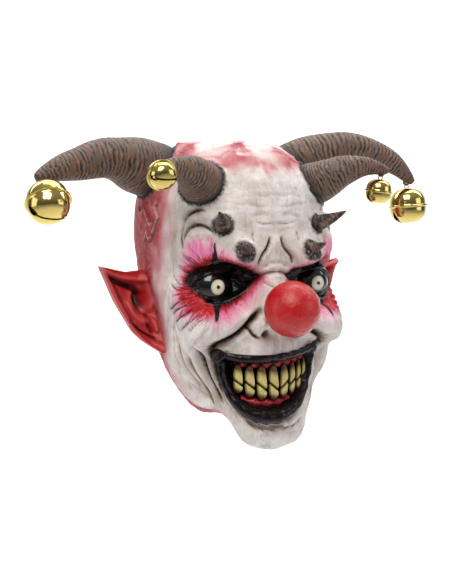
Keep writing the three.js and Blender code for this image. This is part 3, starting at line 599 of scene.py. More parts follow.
def collar_gaps(points):
    """Distance of each point from the nearest horn and the nearest spike where they leave the head."""
    gaps = {"horns": np.full(len(points), FAR), "spikes": np.full(len(points), FAR)}
    for line, radii in HORNS.values():
        root, out = np.array(line[0]), np.array(line[1])
        along = np.clip((points - root) @ (out - root) / ((out - root) ** 2).sum(), 0, 1)
        reach = radii[0] + (radii[1] - radii[0]) * along
        away = np.linalg.norm(points - root - along[:, None] * (out - root), axis=1)
        gaps["horns"] = np.minimum(gaps["horns"], away - reach)
    for base, _, radius in SPIKES.values():
        for side in (1, -1):
            away = np.linalg.norm(points - np.array(base) * (side, 1, 1), axis=1)
            gaps["spikes"] = np.minimum(gaps["spikes"], away - radius)
    return gaps


def fold_profile(distance, width):
    """A crease with a sharp bottom and full flesh on both sides of it, for a depth of one."""
    beside = np.exp(-((distance - FOLD.lip_at * width) / (FOLD.lip_reach * width)) ** 2)
    return np.exp(-(distance / width) ** FOLD.sharpness) - FOLD.lip * beside


def fine_wrinkles(around, z):
    """Depth of the small wrinkles at each chart point, and the wash and painted shade in them."""
    depth, wash = np.zeros(len(z)), np.zeros(len(z))
    patch = WRINKLE.patch
    for field, ((left, right, low, high), degrees, apart, length, rise, dark) in enumerate(WRINKLES.values()):
        inside = np.minimum(np.minimum(around - left, right - around), np.minimum(z - low, high - z))
        near = np.flatnonzero(inside > 0)
        u, v = around[near], z[near]
        way, seed = math.radians(degrees), 10.0 * field
        across = (v * math.cos(way) - u * math.sin(way)) / apart
        along = (u * math.cos(way) + v * math.sin(way)) / length
        level = ripple(np.stack([across, along, np.full(len(near), seed)], -1), 1.0)
        gate = ripple(np.stack([u / patch, v / patch, np.full(len(near), seed + 5)], -1), 1.0)
        shown = smooth(WRINKLE.shown + WRINKLE.patchy * gate) * smooth(inside[near] / WRINKLE.fade)
        line = np.exp(-(level / WRINKLE.sharpness) ** 2) * shown
        depth[near] += rise * line
        wash[near] = np.maximum(wash[near], dark * line)
    return depth, wash


def round_eye(around, z):
    """How far outwards and up from the eye each chart point is, its distance, and its angle in degrees."""
    out, up = around - EYE.round, z - LIDS.z
    return out, np.hypot(out, up), np.degrees(np.arctan2(up, out))


def eye_rays(around, z):
    """The fan of fine lines round each eye: how strong they are, how far round it and how far out from it."""
    _, distance, angle = round_eye(around, z)
    weight = ease(distance, EYE_RAYS.near, EYE_RAYS.start) * ease(-distance, -EYE_RAYS.far, EYE_RAYS.end)
    weight *= smooth((EYE_RAYS.half - np.abs(angle - EYE_RAYS.middle)) / EYE_RAYS.soft)
    weight *= 1 - EYE_RAYS.low_loss * ease(-angle, -EYE_RAYS.low, EYE_RAYS.soft)
    return {"ray": weight, "ray_turn": angle / EYE_RAYS.apart, "ray_reach": distance / EYE_RAYS.length}


def add_strokes(height, wash, chart, crease):
    """Lays the creases and ridges on the head, with the wash and painted shade in the creases."""
    for path, width, rise, dark in STROKES.values():
        line = curve(path, np.linspace(0, 1, STROKE.points))
        near, distance, share, _ = along_line(line, chart, STROKE.reach * width)
        on_middle = min(path[0][0], path[-1][0]) <= 0
        taper = np.minimum(share, 1 - share) / STROKE.end
        taper = smooth(taper + (STROKE.on_middle if on_middle else 0.0))
        shape = fold_profile(distance, width) if rise < 0 else np.exp(-(distance / width) ** 2)
        height[near] += crease * rise * taper * shape
        spread = STROKE.wash * width + STROKE.wash_more
        wash[near] = np.maximum(wash[near], dark * taper * np.exp(-(distance / spread) ** 2))


def add_torn_edges(height, wash, torn, points, chart):
    """Lays the torn edges of the white skin, lifted on one side and strewn with white strands, with a painted
    highlight along each lifted edge and painted shadow in the groove below it.
    """
    above = np.where(points[:, 2:] < CROWN.foot, FAR, points[:, :2])
    for edges, at, look in ((TORN_EDGES, chart, TORN_SIDES), (CROWN_EDGES, above, TORN_CROWN)):
        jag = ripple(np.column_stack([at, np.full(len(at), 7.0)]), TORN.jag_size)
        strand = ripple(np.column_stack([at * TORN.strand_draw, np.full(len(at), 3.0)]), TORN.strand_size)
        for path in edges.values():
            line = np.array(path, float)
            near, distance, share, side = along_line(line, at + TORN.jag * jag[:, None], TORN.reach)
            taper = smooth(np.minimum(share, 1 - share) / TORN.end)
            lifted = (side > 0) * np.exp(-distance / TORN.lift_reach)
            groove = (side <= 0) * np.exp(-(distance / TORN.line) ** 2)
            height[near] += look.relief * taper * (TORN.lift * lifted - TORN.depth * groove)
            # Painted shadow in the groove below the lifted edge
            wash[near] = np.maximum(wash[near], look.wash * taper * groove)
            strands = smooth(TORN.shown + TORN.patchy * strand[near]) * np.exp(-distance / TORN.strands)
            # A painted highlight along the lifted edge, with the white strands
            edge = TORN.edge_white * np.exp(-(distance / TORN.edge) ** 2)
            torn[near] = np.maximum(torn[near], taper * (side > 0) * np.maximum(strands, edge))


def add_collars(height, points, lumps):
    """Heaps the latex round the roots of the horns and spikes, and returns the grime there."""
    grime = np.zeros(len(points))
    for name, gap in collar_gaps(points).items():
        collar = COLLARS[name]
        heap = np.exp(-((gap - collar.out) / collar.width) ** 2)
        height += (collar.height + collar.lumps * lumps) * heap
        spread = collar.spread + collar.ragged * lumps
        grime = np.maximum(grime, np.exp(-(np.clip(gap - collar.start, 0, FAR) / spread) ** 2))
    return grime


def add_mouth(height, points, around, lumps):
    """Sinks the mouth, swells its lips and the balls at their corners, and returns their paint."""
    x, y, z = points.T
    on_face = ease(-y, -FACE_REACH[0], FACE_REACH[0] - FACE_REACH[1])
    level = z - MOUTH.tilt * x
    across = np.abs(x - MOUTH.shift)
    outside = outside_mouth(across, level)
    below = smooth((mouth_roof(across) - level) / LIP.blend)
    middle = np.clip(1 - (across / MOUTH.half_width) ** 2, 0, 1)
    lower = {k: end + (LOWER_LIP_MIDDLE[k] - end) * middle for k, end in LOWER_LIP_END.items()}
    upper = {k: size * (LIP.ends + (1 - LIP.ends) * middle) for k, size in UPPER_LIP.items()}
    lip = {k: upper[k] + (lower[k] - upper[k]) * below for k in upper}
    bead = np.clip(1 - ((outside - lip["out"]) / lip["half"]) ** 2, 0, 1)
    rough = LIP.lumps * (lumps + ripple(points, LIP.lump_size))
    height += on_face * np.sqrt(bead) * (lip["height"] + rough)
    height -= on_face * MOUTH.depth * smooth(-outside / MOUTH.edge)
    knob = np.hypot(around - LIP_KNOB.round - np.sign(x) * MOUTH.shift, level - LIP_KNOB.z)
    ball = np.sqrt(np.clip(1 - (knob / LIP_KNOB.reach) ** 2, 0, 1))
    ahead = y < FRONT.forms
    height += np.where(x < 0, LIP_KNOB.right, LIP_KNOB.left) * ball * ahead
    on_lip = on_face * soft_edge(lip["out"] + lip["half"] - outside, LIP.edge)
    on_knob = soft_edge(LIP_KNOB.reach - knob, LIP.edge) * ahead
    in_mouth = soft_edge(lip["out"] - lip["half"] - LIP.mouth_inset - outside, LIP.mouth_edge)
    return {"lip": np.maximum(on_lip, on_knob), "mouth": on_face * in_mouth}


def with_eyelids(height, points, normals, around):
    """The height with lids over the eye domes, rolls round each opening and the skin sunk behind the eyes."""
    opening = lid_gap(around, points[:, 2])
    near_eye = ease(opening, -LIDS.reach, LIDS.fade) * (points[:, 1] < FRONT.forms)
    radius = bpy.context.scene.mask_sizes.eye_radius / MM
    lid = leaving_dome(points, normals, radius + LIDS.over)
    lifted = np.maximum(height, np.minimum(lid, height + LIDS.lift * near_eye))
    height = np.where(near_eye > 0, lifted, height)
    for out, rise in LID_ROLLS:
        height += near_eye * rise * np.exp(-((opening + out) / LID_ROLL_WIDTH) ** 2)
    floor = np.where(lid > -FAR / 2, lid - LIDS.over - LIDS.behind, height - LIDS.sink)
    inside = soft_edge(opening, LIDS.edge) * near_eye
    return height + inside * (np.minimum(floor, height) - height)


def sculpt(points, normals, around):
    """Height of the finished face over the bare head, and the paint that follows its forms."""
    crease = bpy.context.scene.mask_sizes.crease
    y, z = points[:, 1], points[:, 2]
    chart = np.stack([around, z], -1)
    height = swells(points, SWELLS)
    wash, torn = np.zeros(len(points)), np.zeros(len(points))
    add_strokes(height, wash, chart, crease)
    add_torn_edges(height, wash, torn, points, chart)
    # Painted shade round the folds
    for middle, level, across, up, strength in FOLD_SHADE.values():
        gap = ((around - middle) / across) ** 2 + ((z - level) / up) ** 2
        wash = np.maximum(wash, strength * np.exp(-gap) * (y < 0))
    small, small_wash_and_shade = fine_wrinkles(around, z)
    height -= crease * small
    lumps = ripple(points, LUMP)
    paint = {"wash": np.maximum(wash, small_wash_and_shade), "torn": torn}
    paint["grime"] = add_collars(height, points, lumps)
    paint.update(add_mouth(height, points, around, lumps))
    return with_eyelids(height, points, normals, around), paint


def eye_paint(around, z):
    """How strongly the black, red and pink make-up covers each chart point."""
    out, distance, angle = round_eye(around, z)
    streak = np.zeros(len(z))
    for strength, apart, length, seed in EYE_STREAKS:
        fan = np.stack([angle / apart, distance / length, np.full(len(z), seed)], -1)
        streak += strength * ripple(fan, 1.0)
    least = STREAK_FADE.least
    streak *= least + (1 - least) * ease(out, STREAK_FADE.start, STREAK_FADE.over)
    chart = np.stack([around, z], -1)
    masks = {}
    for name, ((soft, stray), outline) in EYE_PAINT.items():
        line = curve(outline + outline[:1], np.linspace(0, 1, OUTLINE.points))
        near, off, _, side = along_line(line, chart, OUTLINE.reach)
        masks[name] = np.zeros(len(z))
        masks[name][near] = soft_edge(side * off + stray * streak[near], soft)
    return masks


def ink_points(x, z):
    """The narrow black points above and below each eye, as mm inside their outline."""
    inside = np.full(x.shape, -FAR)
    for middle, half, start, end in INK_POINTS.values():
        share = (z - start) / (end - start)
        width = half * np.clip(1 - share, 0, 1) ** INK.hollow + INK.tip
        within = (share > INK.under) & (share < 1)
        inside = np.maximum(inside, np.where(within, width - np.abs(x - middle), -FAR))
    return inside


def raw_patches(points, around, drop):
    """How much of the red under-skin shows: the back and sides, the crown and the neck rim."""
    z = points[:, 2]
    patches = RAW.ragged * ripple(points, RAW.ragged_size)
    patches += RAW.streaks * ripple(points * RAW.streak_draw, RAW.streak_size)
    edge = np.interp(z, RAW_EDGE[:, 0], RAW_EDGE[:, 1])
    side = soft_edge(around + patches - edge, RAW.side_fade)
    crown = soft_edge(z - RAW.crown_z + RAW.crown_ragged * patches, RAW.crown_fade)
    crown *= soft_edge(RAW.top_z - z + RAW.top_ragged * patches, RAW.top_fade)
    crown *= RAW.crown + RAW.crown_patches * ripple(points, RAW.crown_size)
    rim = RAW.rim * soft_edge(drop - RAW.rim_drop, RAW.rim_fade)
    rim *= ease(around, RAW.rim_from, RAW.rim_over)
    return np.clip(np.maximum(np.maximum(side, crown), rim), 0, 1)


def skin_paint(points, around, drop, cavity):
    """Paint that goes over the whole head: rubbed ridges, partly painted highlight, raw red, make-up and
    rays.
    """
    z = points[:, 2]
    front = points[:, 1] < FRONT.paint
    paint = {"ridge": smooth(-cavity / CAVITY.ridge), "raw": raw_patches(points, around, drop)}
    paint["crown"] = ease(z, CROWN.wisps_from, CROWN.wisps_over)
    paint.update(eye_rays(around, z))
    paint.update(eye_paint(around, z))
    paint["ink"] = soft_edge(ink_points(np.abs(points[:, 0]), z), INK.edge)
    for name in ("ray", "ink", *EYE_PAINT):
        paint[name] = paint[name] * front
    return paint


def softened(grid, times):
    """A grid closed round the head, averaged with its neighbours a number of times."""
    for _ in range(times):
        grid = (np.roll(grid, 1, 1) + 2 * grid + np.roll(grid, -1, 1)) / 4
        padded = np.concatenate([grid[:1], grid, grid[-1:]])
        grid = (padded[:-2] + 2 * grid + padded[2:]) / 4
    return grid


def lowest_nearby(grid, reach):
    """The least value within a number of rows and columns of each place."""
    for _ in range(reach):
        grid = np.minimum(np.minimum(np.roll(grid, 1, 1), grid), np.roll(grid, -1, 1))
        padded = np.concatenate([grid[:1], grid, grid[-1:]])
        grid = np.minimum(np.minimum(padded[:-2], grid), padded[2:])
    return grid


# Meshes

def strip_faces(rows, columns, closed=True):
    """Quads of a grid of points, joined round its columns where it is closed."""
    last = columns if closed else columns - 1
    row, col = np.meshgrid(np.arange(rows - 1), np.arange(last), indexing="ij")
    right = (col + 1) % columns
    return np.stack([row * columns + col, (row + 1) * columns + col,
                     (row + 1) * columns + right, row * columns + right], -1).reshape(-1, 4)


def new_piece(name, points, faces, materials, values=None, sharp=40.0, face_slots=None):
    """A smooth-shaded mesh object from points in mm, with named values on its points."""
    mesh = bpy.data.meshes.new(name)
    mesh.from_pydata((np.asarray(points) * MM).tolist(), [], [list(f) for f in faces])
    for key, data in (values or {}).items():
        mesh.attributes.new(key, "FLOAT", "POINT").data.foreach_set("value", np.asarray(data, np.float32))
    for material in materials:
        mesh.materials.append(material)
    if face_slots is not None:
        mesh.polygons.foreach_set("material_index", np.asarray(face_slots, np.int32))
    mesh.update()
    mesh.shade_smooth()
    mesh.set_sharp_from_angle(angle=math.radians(sharp))
    piece = bpy.data.objects.new(name, mesh)
    bpy.context.scene.collection.objects.link(piece)
    return piece


def stand_for(piece, node):
    """Makes a piece take the place of its solid on the mask."""
    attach(piece, BODY)
    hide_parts(node)
    return piece


def cut_away(piece, cutter, sharp):
    """Cuts one mesh out of another, with the cutter's own material on the cut, and removes the cutter."""
    modifier = piece.modifiers.new("cut", "BOOLEAN")
    modifier.operation, modifier.solver, modifier.object = "DIFFERENCE", "EXACT", cutter
    modifier.material_mode = "TRANSFER"
    bpy.context.view_layer.update()
    shape = bpy.data.meshes.new_from_object(piece.evaluated_get(bpy.context.evaluated_depsgraph_get()))
    piece.modifiers.clear()
    piece.data = shape
    shape.set_sharp_from_angle(angle=math.radians(sharp))
    bpy.data.objects.remove(cutter)


def rings_along(points, radii, sides):
    """Rings of points round a line, without twist, and the way out from the line at each point."""
    way = np.gradient(points, axis=0)
    way /= np.linalg.norm(way, axis=1, keepdims=True)
    normals = [np.cross(way[0], (0.0, 0.0, 1.0))]
    for direction in way:
        last = normals[-1]
        turned = last - direction * (last @ direction)
        normals.append(turned / np.linalg.norm(turned))
    normals = np.array(normals[1:])
    second = np.cross(way, normals)
    angle = round_angles(sides)
    out = normals[:, None] * np.cos(angle)[None, :, None] + second[:, None] * np.sin(angle)[None, :, None]
    return points[:, None] + out * radii[:, None, None], out


def round_angles(count):
    return np.linspace(0, 2 * math.pi, count, endpoint=False)


def flipped(faces):
    return [list(face)[::-1] for face in faces]


def renumbered(faces, start):
    """Faces whose points follow a number of others."""
    return [[start + i for i in face] for face in faces]


def capped_faces(rows, columns):
    """Faces of a grid closed round its columns, with a fan at each end to the two points after it."""
    first, last = rows * columns, (rows - 1) * columns
    faces = strip_faces(rows, columns).tolist()
    for k in range(columns):
        beside = (k + 1) % columns
        faces.append([first, k, beside])
        faces.append([first + 1, last + beside, last + k])
    return faces


def hoop_faces(rows, columns):
    """Faces of a grid closed both ways, such as a bent wire that meets itself."""
    return flipped((strip_faces(rows + 1, columns) % (rows * columns)).tolist())


def prism_faces(count):
    """Faces of a prism between two outlines that follow each other."""
    sides = [[k, (k + 1) % count, count + (k + 1) % count, count + k] for k in range(count)]
    return sides + [list(range(count))[::-1], list(range(count, 2 * count))]


def closed_tube(rings, ends=None):
    """Points and faces of a tube closed at each end by a point, amid its end ring or as given."""
    ends = rings[[0, -1]].mean(1) if ends is None else ends
    return np.concatenate([rings.reshape(-1, 3), ends]), flipped(capped_faces(*rings.shape[:2]))


HEAD_TREE = {}  # the finished skin, in which other pieces are seated


def on_skin(points):
    """The nearest place on the skin to each point, the way out of it there and how far out the point is."""
    found = [HEAD_TREE["skin"].find_nearest(Vector(p)) for p in points]
    place, normal = (np.array([hit[k] for hit in found]) for k in (0, 1))
    return place, normal, ((points - place) * normal).sum(1)


def settled(points):
    """Points of a piece, with those that reach into the head drawn up to just under its skin."""
    points = np.array(points)
    place, normal, out = on_skin(points)
    return np.where((out < -SEAT)[:, None], place - normal * SEAT, points)


def planted(rings, values):
    """Rings that start where each of their lines leaves the head, closed by a cap just under the skin."""
    count, sides = rings.shape[:2]
    buried = (on_skin(rings.reshape(-1, 3))[2] < -SEAT).reshape(count, sides)
    start = np.where(buried.any(0), count - 1 - np.argmax(buried[::-1], 0), 0)
    at = start + (count - 1 - start) * np.linspace(0, 1, count)[:, None]
    low = np.minimum(at.astype(int), count - 2)
    column_at = np.arange(sides)

    def along(data):
        part = (at - low).reshape(count, sides, *[1] * (data.ndim - 2))
        return data[low, column_at] * (1 - part) + data[low + 1, column_at] * part

    rings = along(rings)
    rings[0] = settled(rings[0])
    middle = rings[0].mean(0)
    cap = [settled(middle + (rings[0] - middle) * k / SEAT_RINGS) for k in range(1, SEAT_RINGS)]
    points, faces = closed_tube(np.concatenate([cap, rings]))
    points[-2:-1] = settled(points[-2:-1])
    spread = {}
    for key, data in values.items():
        data = along(data)
        data = np.concatenate([np.repeat(data[:1], SEAT_RINGS - 1, 0), data]).ravel()
        spread[key] = np.concatenate([data, [data[0], data[-1]]])
    return points, faces, spread


# Materials

MIX_A, MIX_B, MIX_OUT = 6, 7, 2  # the colour sockets of a mix node


def add_node(tree, kind, settings=None, links=None):
    """Adds a shader node, sets its properties and inputs by name or number and links sockets into it."""
    node = tree.nodes.new("ShaderNode" + kind)
    for key, value in (settings or {}).items():
        if isinstance(key, str) and hasattr(node, key):
            setattr(node, key, value)
        else:
            node.inputs[key].default_value = value
    for key, socket in (links or {}).items():
        tree.links.new(socket, node.inputs[key])
    return node


def new_material(name, constants, values=(), noises=None):
    """A material with constants on its shader, and sockets for values on its mesh's points and for noises.

    A noise has the size of its marks in mm, detail and roughness and, where the marks are drawn out, how far
    each axis is shrunk and how they are turned.
    """
    material = bpy.data.materials.new(name)
    material.use_nodes = True
    tree = material.node_tree
    for key, constant in constants.items():
        tree.nodes["Principled BSDF"].inputs[key].default_value = constant
    sockets = {key: add_node(tree, "Attribute", {"attribute_name": key}).outputs["Fac"] for key in values}
    if noises:
        sockets["place"] = add_node(tree, "TexCoord").outputs["Object"]
        for key, (size, detail, rough, *drawn) in noises.items():
            place = sockets["place"]
            if drawn:
                laid = add_node(tree, "Mapping", {"Scale": drawn[0], "Rotation": drawn[1]}, {"Vector": place})
                place = laid.outputs["Vector"]
            grain = {"Scale": pattern(size), "Detail": detail, "Roughness": rough}
            sockets[key] = add_node(tree, "TexNoise", grain, {"Vector": place}).outputs["Fac"]
    return material, sockets


def finish(material, sockets, base, layers, relief=(), in_proportion=False):
    """Paints layers of colour over a base colour and gives the surface its relief.

    A layer has a mask, the levels of the mask at which it starts and is whole, and a colour. One that is
    broken up has a noise too, and how far that shifts the mask, in proportion to it or evenly. A relief has
    a height, a strength and a depth in mm, which is below nought where the height sinks in.
    """
    colours = bpy.context.scene.mask_colours
    tree = material.node_tree
    shader = tree.nodes["Principled BSDF"]
    under = {}
    for mask, low, high, colour, *broken in layers:
        level = sockets[mask]
        if broken:
            speckle, amount = broken
            shift = add_node(tree, "Math", {"operation": "MULTIPLY_ADD", 1: 2 * amount, 2: -amount},
                             {0: sockets[speckle]}).outputs["Value"]
            scale = {1: level} if in_proportion else {}
            level = add_node(tree, "Math", {"operation": "MULTIPLY_ADD", 1: 1.0},
                             {0: shift, 2: level, **scale}).outputs["Value"]
        levels = {"label": mask, "From Min": low, "From Max": high}
        cover = add_node(tree, "MapRange", levels, {"Value": level})
        paints = {MIX_A: getattr(colours, base), MIX_B: getattr(colours, colour)}
        coat = add_node(tree, "Mix", {"data_type": "RGBA", "label": colour, **paints},
                        {0: cover.outputs["Result"], **under}).outputs[MIX_OUT]
        under = {MIX_A: coat}
    tree.links.new(coat, shader.inputs["Base Color"])
    surface = {}
    for height, strength, depth in relief:
        shape = {"Strength": strength, "Distance": abs(depth) * MM, "invert": depth < 0}
        bump = add_node(tree, "Bump", shape, {"Height": sockets[height], **surface})
        surface = {"Normal": bump.outputs["Normal"]}
    for socket in surface.values():
        tree.links.new(socket, shader.inputs["Normal"])
    return material


def painted_latex():
    """Slush-cast natural latex, airbrushed, washed into its creases and dry-brushed on its edges: a soft
    satin skin with fine pores, whose colours meet in sprayed fades and streaks, with painted shade in every
    fold and painted highlights on its ridges and raised edges."""
    # Pores and brush marks are finer on real latex, and are drawn as coarse as they need to show.
    material, sockets = new_material(
        "painted_slush_cast_latex", {"IOR": 1.5, "Specular IOR Level": 0.3},
        ("wash", "raw", "soot_and_shade", "rouge", "pink", "ink", "lip", "mouth", "grime", "torn", "bare", "ridge",
         "crown", "ray", "ray_turn", "ray_reach"),
        {"mottle": (14, 5.0, 0.62), "grit": (2.2, 4.0, 0.7),
         "wisps": (2.4, 5.0, 0.65, (0.14, 0.5, 1.0), (0.0, 0.5, 0.3)),
         "streak": (2.6, 5.0, 0.6, (1.0, 1.0, 0.16), (0.0, 0.0, 0.0))})
    tree = material.node_tree
    place, mottle = sockets["place"], sockets["mottle"]
    bent = add_node(tree, "VectorMath", {"operation": "MULTIPLY_ADD", 1: (24 * MM,) * 3},
                    {0: mottle.node.outputs["Color"], 2: place}).outputs["Vector"]
    seam = add_node(tree, "TexVoronoi", {"feature": "DISTANCE_TO_EDGE", "Scale": pattern(27)},
                    {"Vector": bent}).outputs["Distance"]
    for name, outer, inner in (("flake_edge", 0.12, 0.03), ("flake_line", 0.045, 0.01)):
        band = add_node(tree, "MapRange", {"From Min": outer, "From Max": inner}, {"Value": seam})
        sockets[name] = add_node(tree, "Math", {"operation": "MULTIPLY"},
                                 {0: band.outputs["Result"], 1: sockets["raw"]}).outputs["Value"]
    fan = add_node(tree, "CombineXYZ", {}, {"X": sockets["ray_turn"], "Y": sockets["ray_reach"]})
    # Thin lines run where a smooth noise crosses its middle: coordinates, scale, half width, strength.
    lines = {
        "rays": (fan.outputs["Vector"], 1.0, 0.05, sockets["ray"]),
        "crackle": (place, pattern(26), 0.013, mottle),
        "crackle_fine": (bent, pattern(13), 0.016, mottle),
    }
    for name, (at, scale, half_width, strength) in lines.items():
        field = add_node(tree, "TexNoise", {"Scale": scale, "Detail": 1.5}, {"Vector": at})
        off = add_node(tree, "Math", {"operation": "SUBTRACT", 1: 0.5}, {0: field.outputs["Fac"]})
        off = add_node(tree, "Math", {"operation": "ABSOLUTE"}, {0: off.outputs["Value"]})
        line = add_node(tree, "MapRange", {"From Min": half_width, "From Max": 0.2 * half_width},
                        {"Value": off.outputs["Value"]})
        sockets[name] = add_node(tree, "Math", {"operation": "MULTIPLY"},
                                 {0: line.outputs["Result"], 1: strength}).outputs["Value"]
    gloss = add_node(tree, "Math", {"operation": "MAXIMUM"}, {0: sockets["lip"], 1: sockets["soot_and_shade"]})
    satin = add_node(tree, "MapRange", {"To Min": 0.55, "To Max": 0.15}, {"Value": gloss.outputs["Value"]})
    tree.links.new(satin.outputs["Result"], tree.nodes["Principled BSDF"].inputs["Roughness"])
    return finish(material, sockets, "grey_white", (
        ("mottle", 0.34, 0.62, "bone_white"),
        ("streak", 0.56, 0.86, "thin_wash"),
        ("crackle", 0.3, 1.1, "stain_and_shade", "grit", 0.9),
        ("crackle_fine", 0.35, 1.3, "stain_and_shade", "grit", 0.9),
        ("raw", 0.0, 0.65, "raw_pale", "streak", 0.45),
        ("raw", 0.3, 1.0, "raw_red", "mottle", 0.5),
        ("raw", 0.6, 1.3, "raw_deep", "mottle", 0.9),
        # Painted highlight along the edges of the cracks in the red
        ("flake_edge", 0.75, 3.1, "dry_brush_and_highlight", "mottle", 1.7),
        ("flake_line", 0.6, 1.6, "raw_line", "mottle", 1.2),
        ("crown", 1.1, 3.0, "dry_brush_and_highlight", "wisps", 1.7),
        # Dry brush and painted highlight on the ridges
        ("ridge", 0.75, 1.7, "dry_brush_and_highlight", "streak", 0.5),
        # Brown stain and painted shade spreading from the creases and folds
        ("wash", 0.06, 0.8, "stain_and_shade", "streak", 0.6),
        ("pink", 0.1, 1.1, "pink", "streak", 0.7),
        ("rouge", 0.2, 1.0, "rouge", "streak", 0.6),
        # Black make-up, which under the brows is also their painted shadow
        ("soot_and_shade", 0.12, 0.85, "soot_and_shade", "grit", 0.3),
        ("rays", 0.1, 1.4, "wash", "grit", 0.5),
        ("ink", 0.35, 0.65, "soot_and_shade"),
        # Dark wash and painted shade in the creases
        ("wash", 0.3, 0.85, "wash", "grit", 0.4),
        # White strands, and the painted highlight along torn edges
        ("torn", 0.45, 1.4, "dry_brush_and_highlight", "grit", 0.9),
        ("grime", 0.2, 1.0, "grime", "grit", 1.1),
        ("lip", 0.4, 0.6, "lip"),
        ("lip", 1.08, 1.6, "lip_purple", "mottle", 0.9),
        ("mouth", 0.3, 0.7, "soot_and_shade"),
        # Painted shade inside the head
        ("bare", 0.4, 0.6, "inside_shade"),
    ), (("grit", 0.35, 0.6), ("streak", 0.3, 1.0), ("flake_edge", 0.8, 1.2), ("rays", 0.9, -0.8)),
        in_proportion=True)


def slit_shade():
    """Painted shade, flat black, on the cut walls of the slits: the edge of a slit sinks into the dark behind
    it.
    """
    soot_and_shade = bpy.context.scene.mask_colours.soot_and_shade
    return new_material("slit_wall_painted_shade", {"Base Color": soot_and_shade, "Roughness": 0.9})[0]


def red_nose_latex():
    """Skinned latex foam, sprayed red and sealed: a satin ball with a leathery crawl of fine wrinkles, and
    painted shade, a deeper red, in their hollows.
    """
    material, sockets = new_material("sealed_red_latex_foam", {"Roughness": 0.27, "Specular IOR Level": 0.55},
                                     noises={"crawl": (3.2, 4.0, 0.6)})
    sockets["cells"] = add_node(material.node_tree, "TexVoronoi", {"Scale": pattern(1.6)},
                                {"Vector": sockets["place"]}).outputs["Distance"]
    return finish(material, sockets, "nose_shade", [("crawl", 0.3, 0.75, "nose_red")],
                  (("cells", 0.3, 0.5), ("crawl", 0.7, 0.9)))


def varnished_eye():
    """Cast dome, painted and varnished: wet black with a flat cream iris and a small dark pupil."""
    sizes = bpy.context.scene.mask_sizes
    material, sockets = new_material(
        "varnished_eye_dome", {"Roughness": 0.16, "Coat Weight": 0.6, "Coat Roughness": 0.05}, ["off_axis"])
    iris, pupil, blur = sizes.iris_radius / MM, sizes.pupil_radius / MM, 0.25
    rings = ((iris + 0.2, "iris"), (0.82 * iris, "iris_light"), (pupil, "soot_and_shade"))
    return finish(material, sockets, "eye_black",
                  [("off_axis", edge + blur, edge - blur, colour) for edge, colour in rings])


def stained_tooth():
    """Cast latex teeth, stained and glazed: cream-yellow faces, brown at the root, and black round the sides
    where they turn from the front, as ink and painted shade.
    """
    material, sockets = new_material("glazed_stained_tooth", {"Roughness": 0.34}, ("stain_and_shade", "ink"),
                                     {"flecks": (1.6, 4.0, 0.7)})
    return finish(material, sockets, "tooth_dull", (
        ("flecks", 0.35, 0.7, "tooth"),
        ("stain_and_shade", 0.15, 0.8, "tooth_root", "flecks", 0.15),
        ("ink", 0.4, 0.7, "soot_and_shade", "flecks", 0.15),
    ), [("flecks", 0.2, 0.4)])


def wet_gum():
    """Cast latex gums, painted and glazed: wet red flesh, with painted shade in its hollows."""
    material, sockets = new_material("glazed_red_gum", {"Roughness": 0.28}, noises={"lumps": (3.0, 4.0, 0.5)})
    return finish(material, sockets, "gum_shade", [("lumps", 0.0, 1.0, "gum")], [("lumps", 0.3, 0.6)])


def red_ear_latex():
    """Slush-cast latex, sprayed red, with painted shadow, nearly black, in its hollows: satin, paler where
    the rim is rubbed.
    """
    material, sockets = new_material("sprayed_red_latex", {"Roughness": 0.42}, ("hollow", "ridge"),
                                     {"cloud": (7.0, 5.0, 0.6), "grit": (1.8, 3.0, 0.5)})
    return finish(material, sockets, "ear_deep", (
        ("cloud", 0.0, 1.0, "ear_red"),
        ("ridge", 0.35, 1.3, "ear_rubbed", "cloud", 0.2),
        ("hollow", 0.22, 0.9, "ear_shadow", "cloud", 0.2),
    ), [("grit", 0.25, 0.5)])


def brushed_horn():
    """Slush-cast latex horn, stained black and dry-brushed: copper and grey on the rings, soot between."""
    material, sockets = new_material(
        "dry_brushed_latex_horn", {"Roughness": 0.55}, ("groove", "root", "crest"),
        {"patch": (6, 4.0, 0.6), "grit": (1.5, 4.0, 0.75)})
    return finish(material, sockets, "horn_grey", (
        ("patch", 0.42, 0.62, "horn_copper"),
        ("crest", 0.55, 1.35, "horn_tan", "grit", 0.45),
        ("root", 0.15, 1.0, "horn_root", "grit", 0.45),
        ("groove", 0.2, 0.62, "horn_groove", "grit", 0.45),
    ), [("grit", 0.5, 0.6)])


def polished_brass():
    """Pressed brass, tumbled bright: a mirror of warm gold with faint handling marks."""
    material, sockets = new_material("tumbled_pressed_brass", {"Metallic": 1.0},
                                     noises={"marks": (3.5, 5.0, 0.7)})
    tree = material.node_tree
    haze = add_node(tree, "MapRange", {"To Min": 0.07, "To Max": 0.2}, {"Value": sockets["marks"]})
    tree.links.new(haze.outputs["Result"], tree.nodes["Principled BSDF"].inputs["Roughness"])
    return finish(material, sockets, "brass", [("marks", 0.0, 1.0, "brass_pale")], [("marks", 0.06, 0.3)])


def twisted_thread():
    """Waxed cotton, twisted from two plies: dull brown-pink, with painted shade as a darker line where the
    plies meet.
    """
    material, sockets = new_material("waxed_twisted_cotton", {"Roughness": 0.8}, ["ply"])
    return finish(material, sockets, "thread_dark", [("ply", 0.0, 1.0, "thread")])


def studio_paper():
    """Seamless background paper, rolled: matt and nearly white with the faintest mottling."""
    material, sockets = new_material("seamless_white_paper", {"Roughness": 0.9},
                                     noises={"fibre": (40, 3.0, 0.5)})
    return finish(material, sockets, "paper", [("fibre", 0.0, 1.0, "paper_shade")])


# Pieces

